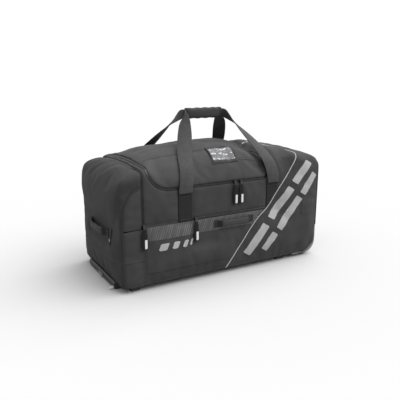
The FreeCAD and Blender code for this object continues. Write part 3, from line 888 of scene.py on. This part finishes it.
def fit(obj, body, nodes=(), bends=False):
    """Rides on its body; what bends and belongs to the lid is left without a body instead, with its place
    baked into its mesh.
    """
    if bends and body == "lid":
        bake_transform(obj)
    elif body:
        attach(obj, body)
    if nodes:
        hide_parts(*nodes)
    return obj


def wall(name, patch, body, nodes=(), slot="bag_fabric", material=CLOTH, hem=0.0005):
    fit(shell(name, patch, 0.0, WALL, material, LINING, hem), body, nodes)


def main_body(p):
    """Negative past the end zipper, and below the flap's fold also up to the corner seam."""
    above = END_ZIP_X + TAPE_HALF - p[:, 0]
    below = np.minimum(gusset_area(p), END_ZIP_X - TAPE_HALF - p[:, 0])
    return np.where(p[:, 2] > FOLD_Z - 0.0002, above, below)


def clear_of_lid(p):
    """Keeps off the lid and its zipper, and off the lid's stitched hinge."""
    return np.minimum(TAPE_HALF - lid_field(p), HINGE_Y + HINGE_GAP - p[:, 1])


def housing_hole(p):
    """Negative where fabric may be on the end face, beside and above the wheel housings."""
    gap = 0.001
    return -np.maximum.reduce([HOUSING_LO.x - gap - p[:, 0], HOUSING_LO.y - gap - np.abs(p[:, 1]),
                               p[:, 2] - HOUSING_HI.z - gap])


def make_bag_walls():
    main = cut(outside(base_area), main_body, clear_of_lid)
    left = clip(main, outside(wrap_area))
    back = clip(left, on_side(1))
    wall("front_wall", clip(left, on_side(-1)), "bag",
         ["front_panel", "lid_surround", "top_left_panel", "top_right_panel", "end_lower_gussets"])
    wall("back_wall", clip(back, below(SHOULDER)), "bag", ["back_panel"])
    wall("back_yoke_wall", clip(back, outside(below(SHOULDER))), "bag", ["back_yoke"])
    wrap = clip(main, wrap_area, outside(wheel_face_area), fabric_corner_area)
    wall("wheel_end_wrap", wrap, "bag")
    wall("wheel_end_face", clip(main, wheel_face_area, housing_hole), "bag", ["wheel_end_panel"])


def tow_arch(p):
    """Negative above the arched opening that the stowed tow grip sits in."""
    y, z = p[:, 1], p[:, 2]
    half = TOW_HI.y + 0.004
    rise = TOW_HI.z + 0.003 - 0.010 * (y / half) ** 2
    return np.where((np.abs(y) < half) & (z < FOLD_Z), rise - z, -0.01)


def make_end_pocket():
    """The end's face is one cloth across the flap's fold, baked in place without a body; the flap's sides
    hang free.
    """
    end = cut(lambda p: end_area(p) + TAPE_HALF)
    sides = clip(end, gusset_area, outside(below(FOLD_Z - FLAP_OVERLAP)))
    wall("end_flap_gussets", sides, "end_flap", ["end_flap_gusset"])
    face = clip(end, outside(gusset_area), outside(base_area), tow_arch)
    # The end's face wears the darker cloth, which is painted shade.
    obj = shell("end_face", face, 0.0, WALL, END_CLOTH_PAINTED_SHADE, LINING, 0.0008)
    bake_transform(obj)
    fit(obj, None, ["end_flap_face", "end_lower_face"])


def make_lid():
    lid = cut(lambda p: lid_field(p) + TAPE_HALF, lambda p: p[:, 1] - HINGE_Y - HINGE_GAP + 0.0003)
    # The lid wears the lighter cloth, which is painted light.
    fit(shell("lid_wall", lid, 0.0, 0.006, LID_CLOTH_PAINTED_LIGHT, LINING, 0.0008), "lid",
        ["lid_panel"], bends=True)


make_bag_walls()
make_end_pocket()
make_lid()


# ---- zippers


def shifted(rows, across, lift=0.0):
    """The line moved sideways on the skin, and its normals."""
    path, normal = rows[:, 3:6], rows[:, 6:9]
    side = np.cross(np.gradient(path, axis=0), normal)
    side /= np.linalg.norm(side, axis=1)[:, None]
    return path + side * across + normal * lift, normal


def zip_coil(name, rows, body, side, lift=-0.0010):
    """One half of a zipper's coil: a thin ribbed cord beside the zipper's line."""
    path, normal = shifted(rows, 0.0014 * side, lift)
    ribs = np.where(np.arange(len(path)) % 2 == 0, 1.0, 0.72)
    profile = np.array(circle(0.0015, 6)) * ribs[:, None, None]
    fit(sweep(name, path, normal, profile, COIL), body, bends=True)


def zip_tapes(name, field, wanted, bodies):
    """Two tapes and two half coils along a field's line; bodies are for its two sides."""
    halves = [(-1, bodies[0], "inner"), (1, bodies[1], "outer")]
    for sign, body, part in halves:
        tape = cut(band(lambda p: sign * field(p), 0.0004, TAPE_HALF + 0.004), wanted)
        fit(shell(f"{name}_tape_{part}", tape, -0.0024, 0.0010, TAPE), body,
            [f"{name}_tape"] if sign > 0 else (), bends=True)
    rows = contour(field, lambda p: wanted(p) < 0, 0.0022)
    for sign, body, part in halves:
        zip_coil(f"{name}_coil_{part}", rows, body, sign)
    return rows


def before_hinge(p):
    return np.maximum(p[:, 1] - HINGE_Y + 0.004, LID_ZIP_Z - 0.03 - p[:, 2])


def above_fold(p):
    return FOLD_Z + 0.004 - p[:, 2]


lid_line = zip_tapes("lid_zip", lid_field, before_hinge, ("lid", "bag"))
end_line = zip_tapes("end_zip", end_area, above_fold, ("end_flap", "bag"))


# ---- ribbons laid on the skin


def polygon(points):
    return lambda p: signed_distance(p[:, 0], p[:, 2], points)


def laid(name, fields, body, material, top, thickness, nodes=(), hem=0.0):
    """A layer of cloth or print lying on the skin inside all the given fields."""
    fit(shell(name, cut(*fields), top, thickness, material, None, hem), body, nodes)


def printed(name, *fields, top=0.0007):
    laid(name, fields, "bag", PRINT, top, 0.0012)


def ridge(name, rows, body, material, radius, lift=0.0, squash=1.0):
    """A cord or fold sewn along a line of the skin."""
    path = rows[:, 3:6] + rows[:, 6:9] * lift
    fit(sweep(name, path, rows[:, 6:9], circle(radius, 8, squash), material), body)


STITCHES = {}


def stitch(body, rows, across=0.0, lift=0.0006):
    """Keeps a row of stitches for a body; they are joined into one piece at the end."""
    if len(rows) == 0:
        return
    path, normal = shifted(rows, across)
    STITCHES.setdefault(body, []).append(dashes(path, normal, lift))


# ---- piping and seams


def make_piping():
    line = contour(wrap_area, lambda p: p[:, 2] > BASE + 0.006)
    ridge("printed_side_piping", line, "bag", REFLECTIVE, 0.0019, 0.0012)
    face_edge = contour(wheel_face_area, lambda p: p[:, 2] > HOUSING_HI.z)
    ridge("wheel_end_piping", face_edge, "bag", PIPING_CLOTH, 0.0024, 0.0006)
    for side, name in ((-1, "front"), (1, "back")):
        corner = contour(gusset_area, lambda p: (p[:, 0] < END_ZIP_X - 0.006)
                         & (side * p[:, 1] > 0) & (p[:, 2] > BASE + 0.004))
        upper = corner[corner[:, 2] > FOLD_Z + 0.001]
        lower = corner[corner[:, 2] < FOLD_Z]
        ridge(f"end_flap_piping_{name}", upper, "end_flap", PIPING_CLOTH, 0.0026, 0.0006)
        ridge(f"end_lower_piping_{name}", lower, "bag", PIPING_CLOTH, 0.0026, 0.0006)
        stitch("end_flap", upper, STITCH_GAP * side)
    back_seam = contour(below(SHOULDER), lambda p: (p[:, 1] > 0.1)
                        & (p[:, 0] > END_ZIP_X + 0.012) & (wrap_area(p) > 0.004))
    for rows in (line, back_seam):
        for side in (1, -1):
            stitch("bag", rows, STITCH_GAP * side)
    for rows, moving in ((lid_line, "lid"), (end_line, "end_flap")):
        stitch(moving, rows, -TAPE_HALF - 0.0035)
        stitch("bag", rows, TAPE_HALF + 0.0035)
    seam = contour(below(END_SEAM_Z), lambda p: p[:, 0] < -0.300)
    ridge("end_lower_seam", seam, "bag", CLOTH, 0.0024, 0.0, 0.5)
    stitch("bag", seam, 0.005)
    base_line = contour(below(BASE + 0.011), lambda p: (p[:, 1] < -0.1)
                        & (p[:, 0] > -HALF_L + 0.02) & (p[:, 0] < HOUSING_LO.x))
    stitch("bag", base_line)


# ---- front pocket, band and prints


def right_of(x):
    return lambda p: x - p[:, 0]


def left_of_piping(gap):
    return lambda p: gap - wrap_area(p)


def slanted_bar(start, end, half, cut_angle):
    """A bar from start to end, with both ends cut along the same slanted direction."""
    a = math.radians(cut_angle)
    u = (half * math.cos(a), half * math.sin(a))
    return [(start[0] - u[0], start[1] - u[1]), (start[0] + u[0], start[1] + u[1]),
            (end[0] + u[0], end[1] + u[1]), (end[0] - u[0], end[1] - u[1])]


# The hatched band's heights, the big bars of the printed side as start and end (x, z),
# and the pocket's small bars as (x, width).
BAND_LO, BAND_HI = 0.170, POCKET_HI.z
SIDE_BARS = [((0.070, 0.058), (0.150, 0.158)), ((0.143, 0.064), (0.190, 0.121)),
             ((0.172, 0.178), (0.262, 0.282)), ((0.207, 0.134), (0.300, 0.243)),
             ((0.276, 0.300), (0.345, 0.372)), ((0.312, 0.255), (0.372, 0.326))]
POCKET_BARS = [(-0.262, 0.030), (-0.218, 0.022), (-0.184, 0.015), (-0.158, 0.009)]


def make_front():
    front = on_side(-1)
    pocket = [front, rectangle(END_ZIP_X + 0.010, 0.3, POCKET_LO.z, POCKET_HI.z), left_of_piping(0.006)]
    laid("front_pocket_wall", pocket, "bag", CLOTH, 0.0016, 0.003,
         ["front_pocket_panel"], hem=0.0008)
    hatch = [front, rectangle(END_ZIP_X + 0.012, 0.3, BAND_LO, BAND_HI), left_of_piping(0.007)]
    laid("hatched_band", hatch, "bag", HATCH, 0.0026, 0.0014)
    for i, (start, end) in enumerate(SIDE_BARS):
        bar = polygon(slanted_bar(start, end, 0.0150, -32))
        printed(f"side_print_{i + 1}", front, bar)
    middle = 0.144
    for i, (x, width) in enumerate(POCKET_BARS):
        bar = slanted_bar((x - 0.005, middle - 0.0115), (x + 0.005, middle + 0.0115), width / 2, 0)
        printed(f"pocket_print_{i + 1}", front, polygon(bar), top=0.0026)
    for i in range(4):
        x0 = 0.168 + i * 0.018
        dash = box_between((x0, 0.016, 0.3), (x0 + 0.013, 0.025, 0.6))
        printed(f"top_print_{i + 1}", dash)
    patch = rectangle(0.308, 0.372, 0.172, 0.228)
    laid("side_patch", [front, patch], "bag", CLOTH, 0.0012, 0.002, hem=0.0004)

    tape = band(lambda p: np.abs(p[:, 2] - POCKET_ZIP_Z), -1.0, 0.0042)
    run = [front, tape, right_of(-STRAP_X + STRAP_W / 2), left_of_piping(0.004)]
    laid("pocket_zip_tapes", run, "bag", TAPE, 0.0010, 0.002, ["pocket_zip_tape"])
    rows = contour(below(POCKET_ZIP_Z), lambda p: (p[:, 1] < -0.1)
                   & (p[:, 0] > -STRAP_X + STRAP_W / 2) & (wrap_area(p) > 0.006), 0.0022)
    for side, part in ((-1, "lower"), (1, "upper")):
        zip_coil("pocket_zip_coil_" + part, rows, "bag", side, 0.0014)
        stitch("bag", rows, side * (TAPE_HALF + 0.004), 0.0018 if side < 0 else 0.0006)


# ---- lid's card window and seam

CARD_LO, CARD_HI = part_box("card_frame")


def make_card_window():
    outer = box_between((CARD_LO.x, CARD_LO.y, 0.3), (CARD_HI.x, CARD_HI.y, 0.6))
    inner = box_between((CARD_LO.x + RIM, CARD_LO.y + RIM * 0.8, 0.3),
                        (CARD_HI.x - RIM, CARD_HI.y - RIM, 0.6))
    laid("card_rim", [outer, outside(inner)], "lid", TAPE, 0.0024, 0.003,
         ["card_frame"], hem=0.0006)
    laid("card", [inner], "lid", CARD, 0.0010, 0.0010, ["name_card"])
    laid("card_cover", [inner], "lid", VINYL, 0.0017, 0.0005, ["card_window"])
    seam_y = CARD_HI.y - 0.004
    for part, wanted in (("left", lambda p: p[:, 0] < CARD_LO.x - 0.002),
                         ("right", lambda p: p[:, 0] > CARD_HI.x + 0.002)):
        rows = contour(lambda p: p[:, 1] - (seam_y if part == "left" else CARD_LO.y + 0.004),
                       lambda p: wanted(p) & (p[:, 2] > 0.3) & (lid_field(p) < -0.012))
        ridge("lid_seam_" + part, rows, "lid", LID_CLOTH_PAINTED_LIGHT, 0.0030, 0.0, 0.5)
        stitch("lid", rows, 0.005)
        stitch("lid", rows, -0.005)


# ---- webbing and carrying loops


def make_sewn_webbing():
    for side, name in ((-1, "front"), (1, "back")):
        parts = []
        for end in (-1, 1):
            x = end * STRAP_X
            area = rectangle(x - STRAP_W / 2, x + STRAP_W / 2, STRAP_LO.z, STRAP_HI.z)
            patch = cut(on_side(side), area, left_of_piping(0.003))
            parts.append(shell("webbing", patch, 0.0034, 0.0030, WEBBING, None, 0.0004))
            for z in (STRAP_HI.z - 0.004, STRAP_HI.z - 0.022, STRAP_LO.z + 0.006):
                rows = contour(below(z), lambda p: (side * p[:, 1] > 0.1)
                               & (np.abs(p[:, 0] - x) < STRAP_W / 2 - 0.004) & (wrap_area(p) > 0.005))
                stitch("bag", rows, 0.0, 0.0040)
        obj = join(f"{name}_sewn_webbing_strips", parts)
        fit(obj, "bag", [f"{name}_sewn_webbing"])


# One leg of a carrying loop from its sewn foot to the middle of the grip: x, |y| and z,
# then the webbing's turn out of flat in degrees, its width and its thickness as it folds.
LEG = [(0.178, 0.1952, 0.312, 0, 0.050, 0.0026), (0.1778, 0.1956, 0.326, 0, 0.050, 0.0026),
       (0.1730, 0.1935, 0.352, 0, 0.050, 0.0026), (0.1660, 0.1790, 0.388, 3, 0.050, 0.0026),
       (0.1570, 0.1520, 0.418, 8, 0.050, 0.0026), (0.1410, 0.1190, 0.450, 18, 0.050, 0.0026),
       (0.1205, 0.0820, 0.487, 30, 0.049, 0.0028), (0.1000, 0.0440, 0.523, 45, 0.044, 0.0032),
       (0.0850, 0.0160, 0.546, 68, 0.034, 0.0044), (0.0720, 0.0042, 0.552, 90, 0.028, 0.0030),
       (0.0400, 0.0022, 0.552, 90, 0.028, 0.0030), (0.0000, 0.0022, 0.552, 90, 0.028, 0.0030)]


def make_loop(side, name):
    stations = [(-x, side * y, *rest) for x, y, *rest in LEG]
    stations += [(x, side * y, *rest) for x, y, *rest in LEG[-2::-1]]
    curve = smooth_outline([s[:3] for s in stations], 7)
    at = np.linspace(0, len(stations) - 1, len(curve))
    turn, width, thick = (np.interp(at, np.arange(len(stations)), [s[i] for s in stations])
                          for i in (3, 4, 5))
    turn = np.radians(turn)
    across = np.column_stack([-np.sign(curve[:, 0]) * np.cos(turn), 0 * turn, np.sin(turn)])
    ups = np.cross(across, np.gradient(curve, axis=0))
    profile = np.array([rounded_strip(w, t, min(t / 2.2, 0.0011), 3) for w, t in zip(width, thick)])
    # The loops wear the lighter webbing, which is painted light.
    obj = sweep(f"{name}_carry_loop", curve, ups, profile, WEBBING_PAINTED_LIGHT)
    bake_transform(obj)
    fit(obj, None, [f"{name}_carry_strap"])


# ---- padded grip and grab handles


def make_grip():
    """A wrap of padded cloth round both loops, open towards the back."""
    half_y, half_z = GRIP_HI.y, (GRIP_HI.z - GRIP_LO.z) / 2
    wall, mouth = 0.0048, 152
    angles = np.radians(np.linspace(mouth, -mouth, 33))

    def ring(y, z):
        c, s = np.cos(angles), np.sin(angles)
        return np.column_stack([y * np.sign(c) * np.abs(c) ** 0.6, z * np.sign(s) * np.abs(s) ** 0.6])

    def sleeve(name, x0, x1, grow, material, puff):
        x = np.linspace(x0, x1, 25)
        across = np.clip((x - x0) / (x1 - x0), 0, 1)
        swell = puff * np.sin(np.pi * across) ** 0.5
        wavy = 0.0009 * np.sin(x * 190.0) * (puff > 0)
        profiles = []
        for s, w in zip(swell, wavy):
            outer = ring(half_y + grow + s - 0.001, half_z + grow + s * 0.5 - 0.001 + w)
            inner = ring(half_y - wall, half_z - wall)[::-1]
            profiles.append(np.vstack([outer, inner]))
        path = np.column_stack([x, np.zeros(25), np.full(25, GRIP_Z)])
        obj = sweep(name, path, np.tile([0, 0, 1.0], (25, 1)), profiles, material)
        return fit(obj, "front_loop")

    pad = sleeve("grip_pad", GRIP_LO.x + 0.003, GRIP_HI.x - 0.003, 0.0, PAD_CLOTH, 0.0018)
    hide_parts("handle_wrap")
    for name, x0, x1 in (("left", GRIP_LO.x, GRIP_LO.x + 0.009), ("right", GRIP_HI.x - 0.009, GRIP_HI.x)):
        sleeve(f"grip_binding_{name}", x0, x1, 0.0012, TAPE, 0.0)


def make_grab_handle(place, centre, along, out, length, height, stand_off):
    """A flattened cloth tube bowed off the wall, with flat webbing feet sewn down; their black, which
    runs up the tube's ends, is partly the webbing's own colour and partly painted shade under the ends.

    Each row of shape is a place along half the handle, how far it stands off (a length
    when small, otherwise a part of stand_off), its part of the height and its thickness.
    """
    along, out, centre = (np.array(v, float) for v in (along, out, centre))
    half = length / 2
    shape = [(-1.0, 0.0014, 1.0, 0.0028), (-0.88, 0.0016, 1.0, 0.0030), (-0.78, 0.30, 0.92, 0.004),
             (-0.62, 0.78, 0.80, 0.0065), (-0.36, 0.98, 0.76, 0.0085), (0.0, 1.0, 0.74, 0.0095)]
    shape += [(-a, b, c, d) for a, b, c, d in shape[-2::-1]]
    path, profiles = [], []
    for a, b, wide, thick in shape:
        lift = b if b < 0.01 else b * (stand_off - thick / 2)
        path.append(centre + along * a * half + out * (lift + 0.001))
        profiles.append(rounded_strip(height * wide, thick, thick * 0.45, 4))
    path = smooth_outline(path, 5)
    at = np.linspace(0, len(profiles) - 1, len(path))
    known = np.arange(len(profiles))
    flat = np.array(profiles).reshape(len(profiles), -1)
    mixed = np.column_stack([np.interp(at, known, column) for column in flat.T])
    obj = sweep(f"{place}_grab_pad", path, np.tile(out, (len(path), 1)),
                mixed.reshape(len(path), -1, 2), PAD_CLOTH)
    # The ends take black webbing: partly the real webbing feet, partly painted shade where the ends bow
    # off the wall.
    obj.data.materials.append(WEBBING)
    reach = half * 0.66
    for face in obj.data.polygons:
        if abs(np.dot(np.array(face.center) - centre, along)) > reach:
            face.material_index = 1
    fit(obj, "bag", [f"{place}_grab_handle"])
    for end in (-1, 1):
        foot = centre + along * end * half * 0.93
        up = np.cross(along, out)
        ring = [foot + along * a * 0.0065 + up * b * height * 0.36 + out * 0.0036
                for a, b in ((-1, -1), (1, -1), (1, 1), (-1, 1), (-1, -1), (1, 1), (1, -1), (-1, 1))]
        line = np.vstack([np.linspace(ring[i], ring[i + 1], 8) for i in range(len(ring) - 1)])
        STITCHES.setdefault("bag", []).append(dashes(line, np.tile(out, (len(line), 1)), 0.0004))


def make_grab_handles():
    front, end, wheel = (middle_of(f"{place}_grab_handle") for place in ("front", "end", "wheel_end"))
    front.y, end.x, wheel.x = -HALF_W - 0.002, -HALF_L - 0.001, HALF_L + 0.001
    make_grab_handle("front", front, (1, 0, 0), (0, -1, 0), 0.160, 0.026, 0.0175)
    make_grab_handle("end", end, (0, -1, 0), (-1, 0, 0), 0.170, 0.030, 0.0195)
    make_grab_handle("wheel_end", wheel, (0, 1, 0), (1, 0, 0), 0.170, 0.030, 0.0195)
    tag = box_between((-1, -0.122, 0.150), (-0.3, -0.100, 0.205))
    laid("end_tag", [tag, end_area], "bag", WEBBING, 0.0022, 0.0020, hem=0.0004)
    mark = box_between((-1, -0.118, 0.163), (-0.3, -0.104, 0.170))
    laid("end_tag_mark", [mark, end_area], "bag", PRINT, 0.0027, 0.0010)


# ---- base, inner wall and wheels


def make_base():
    housing = [box_between((HOUSING_LO.x, a, -1), (1, b, 1)) for a, b in
               ((-1, -HOUSING_LO.y), (HOUSING_LO.y, 1))]
    rail_hi = high("tow_rails")
    patch = cut(base_area, outside(housing[0]), outside(housing[1]))
    y_in = rail_hi.y - 0.024
    for sign in (-1, 1):
        a, b = sorted((sign * (y_in - 0.0005), sign * (rail_hi.y + 0.0005)))
        patch = clip(patch, outside(box_between((-1, a, -1), (rail_hi.x + 0.0005, b, 1))))
    grip = box_between((-1, TOW_LO.y - 0.001, -1), (TOW_HI.x + 0.001, TOW_HI.y + 0.001, 1))
    patch = clip(patch, outside(grip))
    wall("base_wall", patch, "bag", ["base_panel"], "base_fabric", TARPAULIN, hem=0.0)


def make_inner_wall():
    """The padded wall between the main compartment and the end pocket."""
    x, base = middle_of("inner_end_wall").x, low("inner_end_wall").z
    half, puff, count, rings = 0.0022, 0.004, 56, 9
    centre = np.array([x, 0.0, 0.20])
    angles = np.arange(count) * 2 * math.pi / count
    rays = np.column_stack([0 * angles, np.cos(angles), np.sin(angles)])
    rim = centre + rays * surface_distance(centre, rays, 0.35, 0.005)
    rim[:, 2] = np.maximum(rim[:, 2], base)
    steps = np.arange(1, rings + 1) / rings
    verts = []
    for offset, fractions in ((half, steps), (-half, steps[::-1])):
        for t in fractions:
            ring = centre + (rim - centre) * t
            ring[:, 0] += offset + puff * (1 - t ** 4) + 0.0012 * np.sin(3 * angles + 4 * t) * (1 - t)
            verts.append(ring)
    verts += [centre + (puff + half, 0, 0), centre + (puff - half, 0, 0)]
    faces = [tuple(reversed(face)) for face in ring_faces(2 * rings, count)]
    end = 2 * rings * count
    for j in range(count):
        m = (j + 1) % count
        faces += [(end, j, m), (end + 1, end - count + m, end - count + j)]
    obj = new_object("inner_wall", np.vstack(verts), faces, LINING)
    smooth(obj, 60)
    fit(obj, "bag", ["inner_end_wall"])


def lathe(name, profile, centre, count, material):
    """A closed (radius, y) profile turned about an axis along Y."""
    verts = []
    for a in np.arange(count) * 2 * math.pi / count:
        verts += [(centre.x + r * math.cos(a), centre.y + y, centre.z + r * math.sin(a))
                  for r, y in profile]
    obj = new_object(name, verts, ring_faces(count, len(profile), closed=True), material)
    smooth(obj, 35)
    return obj


def make_tyres():
    for side in ("front", "back"):
        tyre, hub = f"wheel_tyre_{side}", f"wheel_hub_{side}"
        centre, upper = middle_of(tyre), high(tyre)
        r, half, bore = upper.z - centre.z, upper.y - centre.y, (high(hub).z - low(hub).z) / 2
        shoulder = arc_points((half - 0.006, r - 0.006), (0.006, 0.006), 0, 90, 6)
        right = [(b, a) for a, b in shoulder]
        left = [(b, -a) for b, a in reversed(right)]
        grooves = [(r - deep, y + dy) for y in (0.0045, -0.0045) for deep, dy in
                   ((0, 0.0012), (0.0016, 0.0008), (0.0016, -0.0008), (0, -0.0012))]
        profile = [(bore, half - 0.001)] + right + grooves + left + [(bore, -half + 0.001)]
        fit(lathe(f"tyre_{side}", profile, centre, 64, RUBBER), f"{side}_wheel", [tyre])


# ---- zip pullers


def make_puller(node):
    """A cord through the slider's bail with a moulded grip that has a pale mark low down."""
    lower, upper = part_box(node)
    (x, y, _), top, steps = middle_of(node), upper.z, 30
    length, wide, thick = top - lower.z, (upper.x - lower.x) * 1.6, upper.y - lower.y
    bend = arc_points((x, top - 0.0030), (0.0021, 0.0021), 200, -20, 9)
    ends = [(x + side * 0.0010, y, top - 0.020) for side in (-1, 1)]
    cord = smooth_outline([ends[0]] + [(a, y, b) for a, b in bend] + [ends[1]], 4)
    out = np.tile([0, -1.0, 0], (len(cord), 1))
    fit(sweep(node + "_cord", cord, out, circle(0.0011, 6), THREAD), node)
    down = np.linspace(0, 1, steps)
    width = wide * (0.62 + 0.38 * smoothstep(down, 0.0, 0.25)) * np.where(down > 0.93, 0.86, 1.0)
    ribs = np.where((down > 0.30) & (down < 0.62) & (np.arange(steps) % 2 == 0), 0.80, 1.0)
    depth = thick * 0.60 * ribs * np.where(down > 0.95, 0.8, 1.0)
    profiles = [rounded_strip(w, d, d * 0.42, 3) for w, d in zip(width, depth)]
    path = np.column_stack([np.full(steps, x), np.full(steps, y),
                            np.linspace(top - 0.012, top - length, steps)])
    rubber = marked(node + "_rubber", (0.005, 0.005, 0.006), grey(0.42), x,
                    lower.z + length * 0.05, lower.z + length * 0.42)
    grip = sweep(node + "_grip", path, np.tile([0, -1.0, 0], (steps, 1)), profiles, rubber)
    fit(grip, node, [node])


make_front()
make_card_window()
make_piping()
make_sewn_webbing()
make_loop(-1, "front")
make_loop(1, "back")
make_grip()
make_grab_handles()
make_base()
make_inner_wall()
make_tyres()
for puller in ("lid_puller_left", "lid_puller_right", "pocket_puller", "end_puller"):
    make_puller(puller)
for body, rows in STITCHES.items():
    fit(join(f"stitching_{body}", rows), body, bends=True)


# ---- carried-over CAD nodes

NODE_MATERIALS = {
    BLACK_PLASTIC: ["tow_grip", "tow_rails", "tow_end_plugs", "skid_feet"],
    HOUSING: ["wheel_housing_front", "wheel_housing_back"],
    HUB: ["wheel_hub_front", "wheel_hub_back"],
    ALLOY: ["tow_outer_tubes", "tow_inner_tubes"],
    STEEL: ["wheel_axle_front", "wheel_axle_back", "wheel_bearings_front", "wheel_bearings_back",
            "tow_button_spring", "housing_screws", "base_rivets"],
    SLIDER: ["lid_slider_left", "lid_slider_right", "pocket_slider", "end_slider"],
    BUTTON: ["tow_button"],
    TAB: ["tow_pull_tab"],
    BOARD: ["base_board"],
}
for material, nodes in NODE_MATERIALS.items():
    for node in nodes:
        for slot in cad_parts[node].material_slots:
            slot.material = material


# ---- studio


def make_studio():
    white = Look("floor_white", grey(0.37), 0.95)
    white.set(Specular_IOR_Level=0.0)
    corners = [(-30, -30, 0), (30, -30, 0), (30, 30, 0), (-30, 30, 0)]
    new_object("floor", corners, [(0, 1, 2, 3)], white.material)
    world = bpy.data.worlds.new("studio")
    bpy.context.scene.world = world
    world.use_nodes = True
    background = world.node_tree.nodes["Background"]
    background.inputs["Color"].default_value = (1.0, 1.0, 1.0, 1)
    background.inputs["Strength"].default_value = 1.2
    overhead = bpy.data.lights.new("overhead", "SUN")
    overhead.energy = 5.6
    overhead.angle = math.radians(80)
    lamp = bpy.data.objects.new("overhead", overhead)
    lamp.rotation_euler = Vector((-0.60, 0.22, -1.0)).to_track_quat("-Z", "Y").to_euler()
    bpy.context.scene.collection.objects.link(lamp)
    bpy.context.scene.view_settings.view_transform = "Standard"


def make_camera():
    camera = bpy.data.cameras.new("camera")
    camera.lens = 45
    camera.sensor_width = 36
    obj = bpy.data.objects.new("camera", camera)
    obj.location = (-0.926, -1.587, 0.684)
    aim = Vector((-0.013, 0, 0.227)) - obj.location
    obj.rotation_euler = aim.to_track_quat("-Z", "Y").to_euler()
    bpy.context.scene.collection.objects.link(obj)
    bpy.context.scene.camera = obj


make_studio()
make_camera()
